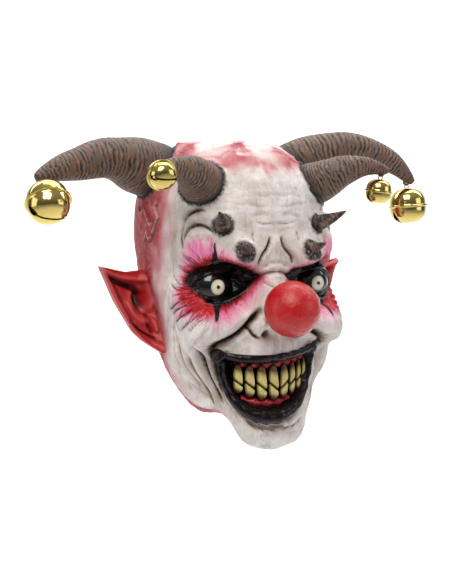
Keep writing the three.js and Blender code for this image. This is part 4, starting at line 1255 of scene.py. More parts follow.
def skin_grid():
    """Drops and turns of the skin's points: even down the front, closer together on the face than behind."""
    fine = np.linspace(0, 1, SAMPLES.front)
    run = run_along(bare_head(np.zeros_like(fine), fine))
    drops = np.interp(run[-1] * np.arange(1, SKIN_ROWS + 1) / SKIN_ROWS, run, fine)
    reach = math.radians(NEAR_REACH)
    turns = np.concatenate([
        -reach + 2 * reach * np.arange(NEAR_COLUMNS) / NEAR_COLUMNS,
        reach + (2 * math.pi - 2 * reach) * np.arange(FAR_COLUMNS) / FAR_COLUMNS,
    ])
    return drops, turns


def skin_shell(outer, bare, normals, inner_height, rows, columns):
    """Points and faces of the wall: outside, inner rim, a coarser inside and two points for the crown."""
    kept_rows = np.arange(rows - 1 - INSIDE_STEP, 0, -INSIDE_STEP)
    kept_columns = np.arange(0, columns, INSIDE_STEP)
    keep = (kept_rows[:, None] * columns + kept_columns[None]).ravel()
    inner = bare[keep] + normals[keep] * inner_height[keep][:, None]
    base = (rows - 1) * columns
    rim = outer[base + kept_columns]
    inwards = rim.mean(0) - rim
    rim_inner = rim + WALL * inwards / np.linalg.norm(inwards, axis=1, keepdims=True)
    top = HEAD_SECTIONS[0, 0]
    points = np.concatenate([outer, rim_inner, inner, [[0, 0, top], [0, 0, top - WALL]]])

    few, start = len(kept_columns), len(outer)
    faces = strip_faces(rows, columns).tolist()
    faces += renumbered(strip_faces(len(kept_rows) + 1, few).tolist(), start)
    for k in range(few):
        span = [base + (k * INSIDE_STEP + j) % columns for j in range(INSIDE_STEP + 1)]
        faces.append(span[::-1] + [start + k, start + (k + 1) % few])
    last = start + len(kept_rows) * few
    faces += [[len(points) - 2, k, (k + 1) % columns] for k in range(columns)]
    faces += [[len(points) - 1, last + (k + 1) % few, last + k] for k in range(few)]
    return points, faces


def build_skin():
    drops, turns = skin_grid()
    drop, turn = (v.ravel() for v in np.meshgrid(drops, turns, indexing="ij"))
    bare, normals = bare_head(turn, drop), bare_normals(turn, drop)
    left_half = np.column_stack([np.abs(bare[:, 0]), bare[:, 1:]])
    bare[:, 2] -= swells(left_half, JAW_SAGS)
    around = chart_round(turn)
    height, paint = sculpt(bare, normals, around)
    for rise, size in SKIN_LUMPS:
        height += rise * ripple(bare, size)
    grid = height.reshape(len(drops), len(turns))
    # Painted shade in the hollows, where the relief lies below its own average round about
    cavity = (softened(grid, CAVITY.rounds) - grid).ravel()
    hollows = CAVITY.wash * ease(cavity, CAVITY.start, CAVITY.over)
    paint["wash"] = np.clip(np.maximum(paint["wash"], hollows), 0, 1)
    paint.update(skin_paint(bare, around, drop, cavity))

    outer = bare + normals * height[:, None]
    inner_height = (lowest_nearby(grid, INSIDE_STEP) - WALL).ravel()
    points, faces = skin_shell(outer, bare, normals, inner_height, *grid.shape)
    HEAD_TREE["skin"] = BVHTree.FromPolygons(outer.tolist(), [f for f in faces if max(f) < len(outer)])
    unseen = len(points) - len(outer)
    values = {name: np.concatenate([data, np.zeros(unseen)]) for name, data in paint.items()}
    # The inside is coloured dark as painted shade
    values["bare"] = np.concatenate([np.zeros(len(outer)), np.ones(unseen - 2), [0, 1]])
    piece = new_piece("painted_mask_skin", points, faces, [painted_latex()], values, sharp=60.0)
    for side in (-1, 1):
        cut_away(piece, sight_slit(side), 60.0)
    # Painted shade on the slits' cut edges: full black, with none of the inside colour
    edge = sorted({v for face in piece.data.polygons if face.material_index for v in face.vertices})
    for name, level in (("soot_and_shade", 1.0), ("ink", 1.0), ("bare", 0.0)):
        for v in edge:
            piece.data.attributes[name].data[v].value = level
    return stand_for(piece, "mask_skin")


def sight_slit(side):
    """A cutter for the slit over an eye: a bar with round ends, drawn along Y and tilted."""
    half, bow = SIGHT_SLIT.length / 2, SIGHT_SLIT.height / 2
    angles = np.linspace(-math.pi / 2, math.pi / 2, SIGHT_SLIT.steps)
    right = np.stack([half - bow + bow * np.cos(angles), bow * np.sin(angles)], -1)
    outline = np.concatenate([right, -right])
    ends = np.concatenate([np.insert(outline, 1, y, axis=1) for y in (0, -SIGHT_SLIT.depth)])
    tilt = np.array(Matrix.Rotation(-side * SIGHT_SLIT.tilt, 3, "Y"))
    points = ends @ tilt.T + (side * SIGHT_SLIT.x, SIGHT_SLIT.y, SIGHT_SLIT.z)
    return new_piece(f"slit_cutter_{side}", points, prism_faces(len(outline)), [slit_shade()])


def ball_ways(polar, columns):
    """Directions over a ball whose pole points along -Y, ring by ring."""
    tilt, turn = np.meshgrid(polar, round_angles(columns), indexing="ij")
    ways = np.stack([np.sin(tilt) * np.cos(turn), -np.cos(tilt), np.sin(tilt) * np.sin(turn)], -1)
    return ways.reshape(-1, 3)


def ball_grid(rows, columns):
    """Directions over a whole ball, with its two poles last, and its faces."""
    ways = ball_ways(np.linspace(0, math.pi, rows + 2)[1:-1], columns)
    return np.concatenate([ways, [[0, -1, 0], [0, 1, 0]]]), capped_faces(rows, columns)


def build_nose():
    radius = bpy.context.scene.mask_sizes.nose_radius / MM
    ways, faces = ball_grid(NOSE.rows, NOSE.columns)
    ball = ways * radius
    crawl = sum(rise * ripple(ball, size) for rise, size in NOSE_CRAWL)
    crawl -= NOSE_VALLEYS[0] * np.abs(ripple(ball, NOSE_VALLEYS[1]))
    points = ways * (radius + crawl - NOSE.sink)[:, None] + (0, NOSE.y, NOSE.z)
    piece = new_piece("round_red_nose", settled(points), faces, [red_nose_latex()])
    return stand_for(piece, "nose_ball")


def build_eyes():
    radius = bpy.context.scene.mask_sizes.eye_radius / MM
    inside = radius - EYE.thickness
    rows, columns = EYE.rows, EYE.columns
    front = ball_ways(np.radians(EYE.cap) * np.arange(1, rows + 1) / rows, columns)
    back = front.reshape(rows, columns, 3)[::-1].reshape(-1, 3)
    shell = np.concatenate([front * radius, back * inside, [[0, -radius, 0], [0, -inside, 0]]])
    values = {"off_axis": np.hypot(shell[:, 0], shell[:, 2])}
    varnish = varnished_eye()
    for name, side in (("eye_right", -1), ("eye_left", 1)):
        points = shell + (side * EYE.x, EYE.y, EYE.z)
        piece = new_piece(f"glossy_{name}", points, capped_faces(2 * rows, columns), [varnish], values)
        stand_for(piece, name)


def tooth_row(x):
    """Depth of the front of the teeth across the mouth."""
    return TOOTH.front + TOOTH.bow * x ** 2


def over_row(pair, x):
    """A height across the mouth, from its values in the middle and at the ends, tilted with the mouth."""
    return pair[0] + (pair[1] - pair[0]) * (x / TOOTH.half_row) ** 2 + MOUTH.tilt * x


def build_teeth():
    enamel, gum = stained_tooth(), wet_gum()
    ways, ball_faces = ball_grid(TOOTH.rows, TOOTH.columns)
    middles = np.array(TOOTH_ACROSS)
    walls = np.concatenate([[1.5 * middles[0] - 0.5 * middles[1]], (middles[1:] + middles[:-1]) / 2,
                            [1.5 * middles[-1] - 0.5 * middles[-2]]])
    for name, row in TOOTH_ROWS.items():
        up = 1 if name == "upper_teeth" else -1
        bend = TOOTH_ROUND.edge + TOOTH_ROUND.root * soft_edge(up * ways[:, 2], TOOTH_ROUND.over)
        powers = np.stack([bend, np.full_like(bend, TOOTH_ROUND.front), bend], -1)
        boxy = np.sign(ways) * np.abs(ways) ** powers
        to_root = up * boxy[:, 2]
        taper = 1 - TOOTH_TAPER.loss * ease(to_root, TOOTH_TAPER.start, TOOTH_TAPER.over)
        points, faces = [], []
        for left, right in zip(walls[:row.teeth], walls[1:]):
            middle, half_width = (left + right) / 2, (right - left - TOOTH.gap) / 2
            across = boxy[:, 0] * half_width * taper
            deep = tooth_row(middle) + boxy[:, 1] * TOOTH.half_depth + 2 * TOOTH.bow * middle * across
            root, bite = over_row(row.edge, middle), over_row(BITE.z, middle)
            bite_at = bite + BITE.slope * np.sign(middle) * across + up * BITE.gap
            up_share = (to_root + 1) / 2
            tooth = np.stack([middle + across, deep, bite_at + (root - bite_at) * up_share], -1)
            faces += renumbered(ball_faces, len(points))
            points += tooth.tolist()
        x = np.linspace(-GUM.reach, GUM.reach, GUM.steps) * TOOTH.half_row
        rise = over_row((0, row.gum_rise), x)
        line = np.stack([x, tooth_row(x) + GUM.inset, row.gum_z + rise], -1)
        between = np.interp(x, np.sort(np.concatenate([walls, middles])), np.arange(2 * len(middles) + 1) % 2)
        rings, _ = rings_along(line, GUM.radius * (GUM.full - GUM.scallop * between), GUM.sides)
        tube, tube_faces = closed_tube(rings)
        slots = [0] * len(faces) + [1] * len(tube_faces)
        faces += renumbered(tube_faces, len(points))
        points += tube.tolist()
        # Brown and black round the sides of each tooth: stain and ink, partly painted shade where it turns
        # away
        edges = TOOTH_PAINT.edge_stain * ease(ways[:, 1], *TOOTH_PAINT.edge)
        values = {"stain_and_shade": np.maximum(ease(to_root, *TOOTH_PAINT.root), edges),
                  "ink": ease(ways[:, 1], *TOOTH_PAINT.ink)}
        values = {key: np.concatenate([np.tile(data, row.teeth), np.zeros(len(tube))])
                  for key, data in values.items()}
        piece = new_piece(f"stained_{name}", settled(points), faces, [enamel, gum], values, face_slots=slots)
        stand_for(piece, name)


def ear_relief(chart):
    """An ear's rolls and hollows on its flat chart: their relief, the painted shadow in the hollows and the
    rubbed ridges.
    """
    relief, hollow, ridge = (np.zeros(len(chart)) for _ in range(3))
    for path, width, rise, dark in EAR_STROKES.values():
        line = curve(np.array(path) * EAR_CHART, np.linspace(0, 1, STROKE.points))
        near, distance, _, _ = along_line(line, chart, EAR.stroke_reach * width)
        shape = np.exp(-(distance / width) ** 2)
        relief[near] += rise * shape
        if rise > 0:
            ridge[near] = np.maximum(ridge[near], shape)
        hollow[near] = np.maximum(hollow[near], dark * shape)
    return relief, np.clip(hollow - EAR.rubbed * ridge, 0, 1), ridge


def build_ears():
    rows, columns = EAR.rows, EAR.columns
    share = np.linspace(0, 1, rows)
    table = np.stack([column(c, share) for c in EAR_STRIPS.T], -1)
    up, out = np.meshgrid(share, np.linspace(0, 1, columns), indexing="ij")
    root, edge, cup = table[:, None, :3], table[:, None, 3:6], table[:, None, 6]
    sheet = root + (edge - root) * out[..., None]
    sheet[..., 1] += cup * np.sin(math.pi * out ** EAR.fullness)
    dip = ease(up, EAR.dip_from, EAR.dip_over) * np.sin(math.pi * out ** EAR.dip_fullness)
    sheet[..., 2] -= EAR.top_dip * dip
    half = (EAR.thickness + (EAR.rim_thickness - EAR.thickness) * out ** 3) / 2
    ends = np.clip(np.minimum(share, 1 - share) / EAR.end, 0, 1)[:, None] ** 0.5
    half = half * (EAR.end_thickness + (1 - EAR.end_thickness) * ends)
    chart = np.stack([out, up], -1).reshape(-1, 2) * EAR_CHART
    relief, hollow, ridge = (v.reshape(rows, columns) for v in ear_relief(chart))
    lumps = ripple(sheet, EAR.lump)
    front, back = sheet.copy(), sheet.copy()
    raised = relief * (EAR.end_relief + (1 - EAR.end_relief) * ends)
    front[..., 1] -= half + raised + EAR.front_lumps * lumps
    back[..., 1] += half + np.clip(-relief, 0, FAR) * ends + EAR.back_lumps * lumps
    points, left_faces = closed_tube(np.concatenate([front, back[:, ::-1]], 1))
    values = {name: np.concatenate([np.concatenate([v, np.zeros_like(v)], 1).ravel(), [0, 0]])
              for name, v in (("hollow", hollow), ("ridge", ridge))}
    latex = red_ear_latex()
    for name, side, faces in (("ear_right", 1, flipped(left_faces)), ("ear_left", -1, left_faces)):
        at = points * (side, 1, 1)
        at[:, 1] += EAR_LEAN[name] * (np.abs(at[:, 0]) + EAR_STRIPS[0, 0]) / EAR_CHART[0]
        piece = new_piece(f"sprayed_{name}", settled(at), faces, [latex], values, sharp=70.0)
        stand_for(piece, name)


def horn_rings(out, run, beat, seed):
    """Grooves and crests round a horn, where its ring lines run, and the chips in it."""
    wide = np.stack([run, np.full_like(run, seed), np.zeros_like(run)], -1)[:, None]
    waver = sum(strength * ripple(out * HORN_NOISE.waver + wide * along, size)
                for strength, size, along in RING_WAVERS)
    groove, crest = np.zeros(out.shape[:2]), np.zeros(out.shape[:2])
    for pitch, strength, whole, shift in RING_LINES:
        ring = np.abs(np.sin(math.pi * (pitch * beat[:, None] + HORN.waver * waver + shift)))
        at = out * HORN_NOISE.breaks + wide * RING_BREAKS.along + RING_BREAKS.apart * shift
        gate = strength * smooth(whole + RING_BREAKS.strength * ripple(at, RING_BREAKS.size))
        groove = np.maximum(groove, gate * np.exp(-(ring / HORN.groove) ** 2))
        crest = np.maximum(crest, gate * ease(ring, HORN.crest, 1 - HORN.crest))
    return groove, crest, ripple(out * HORN_NOISE.chips + wide, HORN_NOISE.chip)


def build_horns():
    sizes = bpy.context.scene.mask_sizes
    brushed = brushed_horn()
    for number, (name, (line, radii)) in enumerate(HORNS.items(), 1):
        size = "large" if "large" in name else "small"
        line = np.array(line, float)
        line = np.concatenate([[line[0] + HORN.bury * (line[0] - line[1])], line])
        radii = (HORN.root_taper * radii[0], *radii)
        _, length = evenly(line, 2)
        count = int(length / HORN.step)
        spine, _ = evenly(line, count)
        share = np.linspace(0, 1, count)
        past = np.clip((share - HORN.tip_from) / HORN.tip_fade, 0, 1)
        radius = column(np.array(radii), share) * np.sqrt(1 - past ** 2)
        rings, out = rings_along(spine, radius, HORN.sides)
        run, seed = share * length, 10.0 * number
        places = np.stack([run / HORN.pace_length, np.full_like(run, seed), np.zeros_like(run)], -1)
        period = (sizes.large_rings if size == "large" else sizes.small_rings) / MM
        beat = np.cumsum(1 + HORN.pace * ripple(places, 1.0)) * HORN.step / period
        groove, crest, chips = horn_rings(out, run, beat, seed)
        depth = sizes.ring_depth / MM * (1 + radius / max(radii)) / 2 * (1 - past)
        rings = rings - out * (depth[:, None] * (groove + HORN.chips * chips))[..., None]
        flat = rings.reshape(-1, 3)
        off = np.linalg.norm(flat - on_skin(flat)[0], axis=1)
        root = np.exp(-(off / HORN_ROOT[size]) ** 2).reshape(groove.shape)
        points, faces, values = planted(rings, {"groove": groove, "crest": crest, "root": root})
        piece = new_piece(f"ringed_{name}", points, faces, [brushed], values, sharp=80.0)
        stand_for(piece, name)


def build_spikes():
    brushed = brushed_horn()
    for name, (base, tip, width) in SPIKES.items():
        base, tip = np.array(base, float), np.array(tip, float)
        bend = (base + tip) / 2 + (0, -SPIKE.hook, -SPIKE.hook / 2)
        share = np.linspace(0, 1, int(np.linalg.norm(tip - base) / SPIKE.step))[:, None]
        spine = base * (1 - share) ** 2 + 2 * bend * share * (1 - share) + tip * share ** 2
        radius = width * (1 - share[:, 0]) ** SPIKE.taper + SPIKE.tip_radius
        rings, out = rings_along(spine, radius, SPIKE.sides)
        waver = ripple(rings, SPIKE.lump)
        valley = 1 - np.abs(np.sin(math.pi * (share * SPIKE.rings + SPIKE.waver * waver)))
        cut = (SPIKE.ring_depth * valley + SPIKE.lump_depth * waver) * (1 - share)
        rings = rings - out * cut[..., None]
        dark = SPIKE_PAINT.rings * valley + SPIKE_PAINT.lumps * waver + SPIKE_PAINT.least
        groove = np.clip(dark, 0, 1)
        root = smooth((SPIKE_PAINT.root - share) / SPIKE_PAINT.root_fade)
        paint = {"groove": groove, "crest": 1 - groove, "root": np.repeat(root, SPIKE.sides, 1)}
        for side_name, side in (("right", 1), ("left", -1)):
            turned = (rings * (side, 1, 1))[:, ::side]
            points, faces, values = planted(turned, {key: data[:, ::side] for key, data in paint.items()})
            piece = new_piece(f"brushed_{name}_{side_name}", points, faces, [brushed], values, sharp=80.0)
            stand_for(piece, f"{name}_{side_name}")


def hung(points, hang):
    """Points round a hanging point, leaned and moved to where a bell hangs."""
    at, front, side = hang
    lean = Matrix.Rotation(math.radians(side), 3, "Y") @ Matrix.Rotation(math.radians(-front), 3, "X")
    return points @ np.array(lean).T + np.array(at, float)


def bell_outline(bell, inset):
    """Half outline of a bell from the bottom up, as radius and height from its middle."""
    angle = np.linspace(-math.pi / 2, math.pi / 2, BELL.steps + 1)
    blend = 2 / BELL.shoulder
    reach = (bell.radius - inset) * np.abs(np.cos(angle)) ** blend
    rise = (bell.height / 2 - inset) * np.sign(angle) * np.abs(np.sin(angle)) ** blend
    reach[[0, -1]] = 0
    sides = np.stack([reach, rise], -1)
    if inset:
        return sides
    body, rim, half = bell.radius, bell.radius + bell.rim, bell.band / 2
    band = np.array([(body, -half - BAND.foot), (body + BAND.fillet, -half), (rim - BAND.corner, -half),
                     (rim, -half * BAND.flat), (rim, -BAND.seam), (rim - BAND.seam_depth, 0.0)])
    low, high = sides[rise < -half - BAND.clear], sides[rise > half + BAND.clear]
    return np.concatenate([low, band, band[-2::-1] * (1, -1), high])


def turned_body(outline):
    """A closed body of revolution about Z from an outline that starts and ends on the axis."""
    angle = round_angles(BELL.sides)
    inner = outline[1:-1]
    rings = np.stack([inner[:, :1] * np.cos(angle), inner[:, :1] * np.sin(angle),
                      np.repeat(inner[:, 1:], len(angle), 1)], -1)
    return closed_tube(rings, [[0, 0, outline[0, 1]], [0, 0, outline[-1, 1]]])


def bell_slot(bell, middle):
    """A cutter for the dumb-bell slot: a bar with a round hole at each end, drawn along Z."""
    reach = bell.radius * math.sin(BELL.slot_angle)
    half, hole = bell.slot / 2, bell.hole
    start = math.asin(half / hole)
    angle = np.linspace(-math.pi + start, math.pi - start, BELL.slot_steps)
    right = np.stack([reach + hole * np.cos(angle), hole * np.sin(angle)], -1)
    outline = np.concatenate([right, -right])
    ends = (middle - bell.height, middle - bell.height * BELL.slot_top)
    points = np.concatenate([np.insert(outline, 2, z, axis=1) for z in ends])
    return new_piece("slot_cutter", points, prism_faces(len(outline)), [])


def wire_loop():
    """Points of the loop that a bell hangs by, round the hanging point."""
    turn, round_at = round_angles(LOOP.steps), round_angles(LOOP.sides)
    circle = np.stack([np.cos(turn), np.zeros_like(turn), np.sin(turn)], -1)
    wire = circle[:, None] * (LOOP.radius + LOOP.wire * np.cos(round_at))[None, :, None]
    return (wire + np.array([0, 1, 0]) * (LOOP.wire * np.sin(round_at))[None, :, None]).reshape(-1, 3)


def build_bells():
    brass = polished_brass()
    for name, hang in HANGS.items():
        bell = BELL_SIZES[name.split("_")[0]]
        middle = LOOP.wire - LOOP.radius - bell.height / 2
        outer, outer_faces = turned_body(bell_outline(bell, 0))
        inner, inner_faces = turned_body(bell_outline(bell, bell.wall))
        points = np.concatenate([outer, inner]) + (0, 0, middle)
        faces = outer_faces + flipped(renumbered(inner_faces, len(outer)))
        shell = new_piece(f"brass_bell_{name}", points, faces, [brass])
        cut_away(shell, bell_slot(bell, middle), 35.0)
        body = np.empty(len(shell.data.vertices) * 3)
        shell.data.vertices.foreach_get("co", body)
        body = body.reshape(-1, 3) / MM
        faces = [list(face.vertices) for face in shell.data.polygons]
        faces += renumbered(hoop_faces(LOOP.steps, LOOP.sides), len(body))
        bpy.data.objects.remove(shell)
        points = hung(np.concatenate([body, wire_loop()]), hang)
        piece = new_piece(f"brass_bell_{name}", points, faces, [brass], sharp=35.0)
        stand_for(piece, f"bell_{name}")


def build_ties():
    cotton = twisted_thread()
    lowest = LOOP.radius - LOOP.wire - TIE.thread
    angle, round_at = round_angles(TIE.steps), round_angles(TIE.ply_sides)
    out = np.stack([np.zeros_like(angle), np.sin(angle), np.cos(angle)], -1)
    circle = TIE.radius * out + (0, 0, lowest + TIE.radius)
    side = np.array([1.0, 0, 0])
    loop, faces, ply = [], [], []
    for turn, strand in [(t, s) for t in TIE.turns for s in (0, math.pi)]:
        twist = TIE.twists * angle + strand
        centre = circle + TIE.ply_out * (out * np.cos(twist)[:, None] + side * np.sin(twist)[:, None])
        around = out[:, None] * np.cos(round_at)[None, :, None] + side * np.sin(round_at)[None, :, None]
        rings = (centre[:, None] + TIE.ply * around) @ np.array(Matrix.Rotation(math.radians(turn), 3, "Z")).T
        faces += renumbered(hoop_faces(TIE.steps, TIE.ply_sides), len(loop))
        loop += rings.reshape(-1, 3).tolist()
        ply += np.repeat(0.5 + 0.5 * np.sin(twist * 2), TIE.ply_sides).tolist()
    for name, hang in HANGS.items():
        piece = new_piece(f"thread_tie_{name}", hung(np.array(loop), hang), faces, [cotton], {"ply": ply})
        stand_for(piece, f"bell_tie_{name}")


# Stage

def aim(item, target):
    item.rotation_euler = (Vector(target) - item.location).to_track_quat("-Z", "Y").to_euler()


def lay_paper(turned):
    """The sweep of paper: a level floor that bends up into a wall behind the mask."""
    floor_z = (SOLIDS_BOX[0][2] - bpy.context.scene.mask_sizes.floor_drop) / MM
    far, bend = PAPER.far, PAPER.bend
    profile = [(PAPER.near, floor_z), (far, floor_z)]
    for angle in np.linspace(-math.pi / 2, 0, PAPER.bend_steps):
        profile.append((far + bend * math.cos(angle), floor_z + bend + bend * math.sin(angle)))
    profile.append((far + bend, floor_z + PAPER.top))
    rows = np.array([[(x, y, z) for x in (-PAPER.half_width, PAPER.half_width)] for y, z in profile])
    faces = strip_faces(len(profile), 2, closed=False).tolist()
    paper = new_piece("paper_sweep", rows.reshape(-1, 3) @ turned.T, faces, [studio_paper()])


def light_room(scene):
    """The even light of a pale room, dimmer at the level of the eyes."""
    scene.world = bpy.data.worlds.new("studio_room")
    scene.world.use_nodes = True
    tree = scene.world.node_tree
    way = add_node(tree, "TexCoord").outputs["Generated"]
    height = add_node(tree, "SeparateXYZ", {}, {0: way}).outputs["Z"]
    share = add_node(tree, "MapRange", {"From Min": -1.0, "From Max": 1.0}, {"Value": height})
    room = add_node(tree, "ValToRGB", {}, {"Fac": share.outputs["Result"]})
    for position, grey in ROOM_GREYS:
        room.color_ramp.elements.new(position).color = linear(grey)
    background = tree.nodes["Background"].inputs
    tree.links.new(room.outputs["Color"], background["Color"])
    background["Strength"].default_value = scene.mask_sizes.room_light


def build_stage():
    scene = bpy.context.scene
    turned = np.array(Matrix.Rotation(math.radians(VIEW.azimuth), 3, "Z"))
    lay_paper(turned)
    for name, (place, target, size, share, colour) in SOFT_BOXES.items():
        data = bpy.data.lights.new(name, "AREA")
        data.shape, data.size, data.color = "SQUARE", size * MM, linear(colour)[:3]
        data.energy = scene.mask_sizes.key_power * share
        lamp = bpy.data.objects.new(name, data)
        lamp.location = Vector(turned @ np.array(place)) * MM
        aim(lamp, Vector(turned @ np.array(target)) * MM)
        scene.collection.objects.link(lamp)
    light_room(scene)

    azimuth, elevation = math.radians(VIEW.azimuth), math.radians(VIEW.elevation)
    level = math.cos(elevation)
    back = Vector((math.sin(azimuth) * level, -math.cos(azimuth) * level, math.sin(elevation)))
    lens = bpy.data.cameras.new("photo_camera")
    lens.sensor_width = SENSOR
    lens.lens = PHOTO.focal / max(PHOTO.width, PHOTO.height) * SENSOR
    camera = bpy.data.objects.new("photo_camera", lens)
    camera.location = (Vector(VIEW.aim) + VIEW.distance * back) * MM
    aim(camera, Vector(VIEW.look) * MM)
    scene.collection.objects.link(camera)
    scene.camera = camera
    scene.view_settings.view_transform = "Standard"


# The add-on

def length(name, description, mm):
    return bpy.props.FloatProperty(name=name, description=description, default=mm * MM, min=0.0,
                                   unit="LENGTH", subtype="DISTANCE")


def colour(name, description, hex_colour):
    return bpy.props.FloatVectorProperty(name=name, description=description, default=linear(hex_colour),
                                         size=4, min=0.0, max=1.0, subtype="COLOR")


class MaskSizes(bpy.types.PropertyGroup):
    """Sizes of the mask's pieces and its stage"""
    crease: bpy.props.FloatProperty(name="Crease depth", description="How deep the sculpted creases are",
                                    default=1.0, min=0.0, max=2.0, subtype="FACTOR")
    nose_radius: length("Nose radius", "Radius of the ball nose", 26)
    eye_radius: length("Eye radius", "Radius of the eye domes", 19)
    iris_radius: length("Iris radius", "Radius of the cream iris", 6.7)
    pupil_radius: length("Pupil radius", "Radius of the dark pupil", 1.8)
    large_rings: length("Large horn rings", "Spacing of the rings on the large horns", 4.2)
    small_rings: length("Small horn rings", "Spacing of the rings on the small horns", 3.2)
    ring_depth: length("Ring depth", "Depth of the grooves between rings", 1.3)
    floor_drop: length("Floor drop", "Height of the mask over the floor", 550)
    key_power: bpy.props.FloatProperty(name="Key light", description="Power of the main soft box in watts",
                                       default=16.0, min=0.0, unit="POWER")
    room_light: bpy.props.FloatProperty(name="Room light", description="Strength of the light from the room",
                                        default=0.4, min=0.0, max=4.0)


class MaskColours(bpy.types.PropertyGroup):
    """Colours of the mask's paints and materials"""
    bone_white: colour("Bone white", "Main skin colour", "ece7e3")
    grey_white: colour("Grey white", "Cloudy patches in the skin colour", "cdc5c0")
    thin_wash: colour("Thin wash", "Streaks of wash on the skin", "b09c8a")
    # Brown stain, also painted shade round the folds
    stain_and_shade: colour("Stain", "Brown that spreads from the creases", "a58c74")
    # Dark wash, also painted shade in the creases
    wash: colour("Wash", "Dark wash in the creases", "20140e")
    raw_pale: colour("Pale raw red", "Where the red thins out", "cf8f94")
    raw_red: colour("Raw red", "Red of the back, sides and crown", "ab3039")
    raw_deep: colour("Deep raw red", "Deeper patches in the red", "8e1a1f")
    raw_line: colour("Raw line", "Cracks in the red", "5c1418")
    pink: colour("Pink", "Outer make-up round the eyes", "f07ab0")
    rouge: colour("Rouge", "Inner make-up round the eyes", "cc1620")
    # Also the painted shadow under the brows and on the cut walls of the sight slits
    soot_and_shade: colour("Soot", "Black make-up and mouth", "0c0b0c")
    grime: colour("Grime", "Black round the horn roots", "262220")
    # Dry brush, and painted highlight on raised edges, ridges and crack edges
    dry_brush_and_highlight: colour("Torn edge", "Dry-brushed torn edges", "dccac8")
    lip: colour("Lip", "Lips", "10080b")
    lip_purple: colour("Lip purple", "Purple bloom on the lips", "5a2c58")
    # Painted shade: the inside is coloured dark
    inside_shade: colour("Bare latex", "Unpainted inside", "3c3128")
    nose_red: colour("Nose red", "Ball nose", "cf1a1b")
    # Painted shade in the nose's wrinkles
    nose_shade: colour("Deep nose red", "Hollows of the ball nose", "a80c10")
    eye_black: colour("Eye black", "Eye dome", "09090a")
    iris: colour("Iris", "Rim of the iris", "c9c8a4")
    iris_light: colour("Light iris", "Middle of the iris", "e4e4cc")
    tooth: colour("Tooth", "Teeth", "e2d48c")
    tooth_dull: colour("Dull tooth", "Duller patches of the teeth", "c4b268")
    tooth_root: colour("Tooth root", "Stain at the roots", "5a3a20")
    gum: colour("Gum", "Gums", "c8242c")
    # Painted shade in the gums' hollows
    gum_shade: colour("Dark gum", "Hollows of the gums", "6e1420")
    ear_red: colour("Ear red", "Ears", "c4282c")
    ear_deep: colour("Deep ear red", "Deeper patches of the ears", "9a1a1e")
    ear_rubbed: colour("Rubbed ear", "Rubbed rims of the ears", "d25a58")
    # Painted shadow in the ears' hollows
    ear_shadow: colour("Ear shadow", "Wash in the ears", "2e0a0c")
    horn_grey: colour("Horn grey", "Grey dry brush on the horns", "5f5249")
    horn_copper: colour("Horn copper", "Copper dry brush on the horns", "765039")
    horn_tan: colour("Horn tan", "Pale brush on the tops of the rings", "927966")
    horn_groove: colour("Horn groove", "Between the rings", "140f0d")
    horn_root: colour("Horn root", "Dark roots of the horns", "2c2724")
    brass: colour("Brass", "Bells", "c9b05c")
    brass_pale: colour("Pale brass", "Brightest brass", "dcca84")
    thread: colour("Thread", "Bell ties", "8a5c54")
    thread_dark: colour("Dark thread", "Lines of the bell ties", "4c302c")
    paper: colour("Paper", "Background paper", "f6f6f6")
    paper_shade: colour("Paper shade", "Mottling of the paper", "f1f1f1")


class MASK_OT_skin(bpy.types.Operator):
    """Builds the painted latex head"""
    bl_idname = "mask.skin"
    bl_label = "Painted head"

    def execute(self, context):
        build_skin()
        return {"FINISHED"}


class MASK_OT_nose(bpy.types.Operator):
    """Builds the ball nose"""
    bl_idname = "mask.nose"
    bl_label = "Ball nose"

    def execute(self, context):
        build_nose()
        return {"FINISHED"}


class MASK_OT_eyes(bpy.types.Operator):
    """Builds the two eye domes"""
    bl_idname = "mask.eyes"
    bl_label = "Eyes"

    def execute(self, context):
        build_eyes()
        return {"FINISHED"}


class MASK_OT_teeth(bpy.types.Operator):
    """Builds both rows of teeth on their gums"""
    bl_idname = "mask.teeth"
    bl_label = "Teeth"

    def execute(self, context):
        build_teeth()
        return {"FINISHED"}


class MASK_OT_ears(bpy.types.Operator):
    """Builds the two pointed ears"""
    bl_idname = "mask.ears"
    bl_label = "Ears"

    def execute(self, context):
        build_ears()
        return {"FINISHED"}


class MASK_OT_horns(bpy.types.Operator):
    """Builds the four ringed horns"""
    bl_idname = "mask.horns"
    bl_label = "Horns"

    def execute(self, context):
        build_horns()
        return {"FINISHED"}


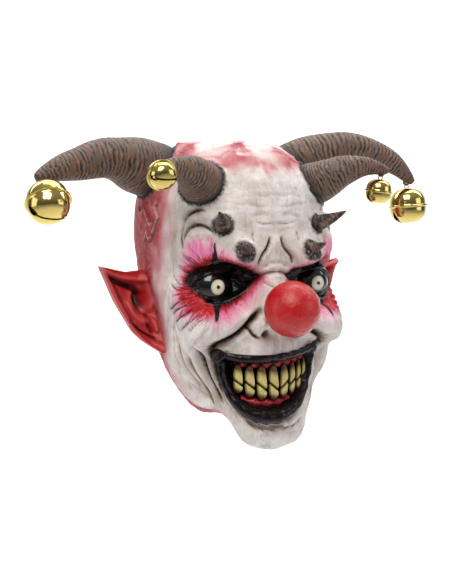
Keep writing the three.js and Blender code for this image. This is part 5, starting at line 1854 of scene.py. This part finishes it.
class MASK_OT_spikes(bpy.types.Operator):
    """Builds the four brow spikes"""
    bl_idname = "mask.spikes"
    bl_label = "Brow spikes"

    def execute(self, context):
        build_spikes()
        return {"FINISHED"}


class MASK_OT_bells(bpy.types.Operator):
    """Builds the four jingle bells"""
    bl_idname = "mask.bells"
    bl_label = "Bells"

    def execute(self, context):
        build_bells()
        return {"FINISHED"}


class MASK_OT_ties(bpy.types.Operator):
    """Builds the threads that tie the bells to the horns"""
    bl_idname = "mask.ties"
    bl_label = "Bell ties"

    def execute(self, context):
        build_ties()
        return {"FINISHED"}


class MASK_OT_stage(bpy.types.Operator):
    """Builds the paper sweep, the soft boxes and the camera"""
    bl_idname = "mask.stage"
    bl_label = "Stage"

    def execute(self, context):
        build_stage()
        return {"FINISHED"}


STEPS = (MASK_OT_skin, MASK_OT_nose, MASK_OT_eyes, MASK_OT_teeth, MASK_OT_ears, MASK_OT_horns, MASK_OT_spikes,
         MASK_OT_bells, MASK_OT_ties, MASK_OT_stage)


class MASK_PT_sidebar(bpy.types.Panel):
    """Lists the mask's pieces, sizes and colours"""
    bl_idname = "MASK_PT_sidebar"
    bl_label = "Horned Clown Mask"
    bl_space_type = "VIEW_3D"
    bl_region_type = "UI"
    bl_category = "Mask"

    def draw(self, context):
        for step in STEPS:
            self.layout.operator(step.bl_idname)
        for group in (context.scene.mask_sizes, context.scene.mask_colours):
            for name in type(group).__annotations__:
                self.layout.prop(group, name)


CLASSES = (MaskSizes, MaskColours, *STEPS, MASK_PT_sidebar)


def register():
    for item in CLASSES:
        bpy.utils.register_class(item)
    bpy.types.Scene.mask_sizes = bpy.props.PointerProperty(type=MaskSizes)
    bpy.types.Scene.mask_colours = bpy.props.PointerProperty(type=MaskColours)


def unregister():
    del bpy.types.Scene.mask_sizes
    del bpy.types.Scene.mask_colours
    for item in reversed(CLASSES):
        bpy.utils.unregister_class(item)


def main():
    register()
    for step in STEPS:
        group, name = step.bl_idname.split(".")
        getattr(getattr(bpy.ops, group), name)()


if __name__ == "__main__":
    main()
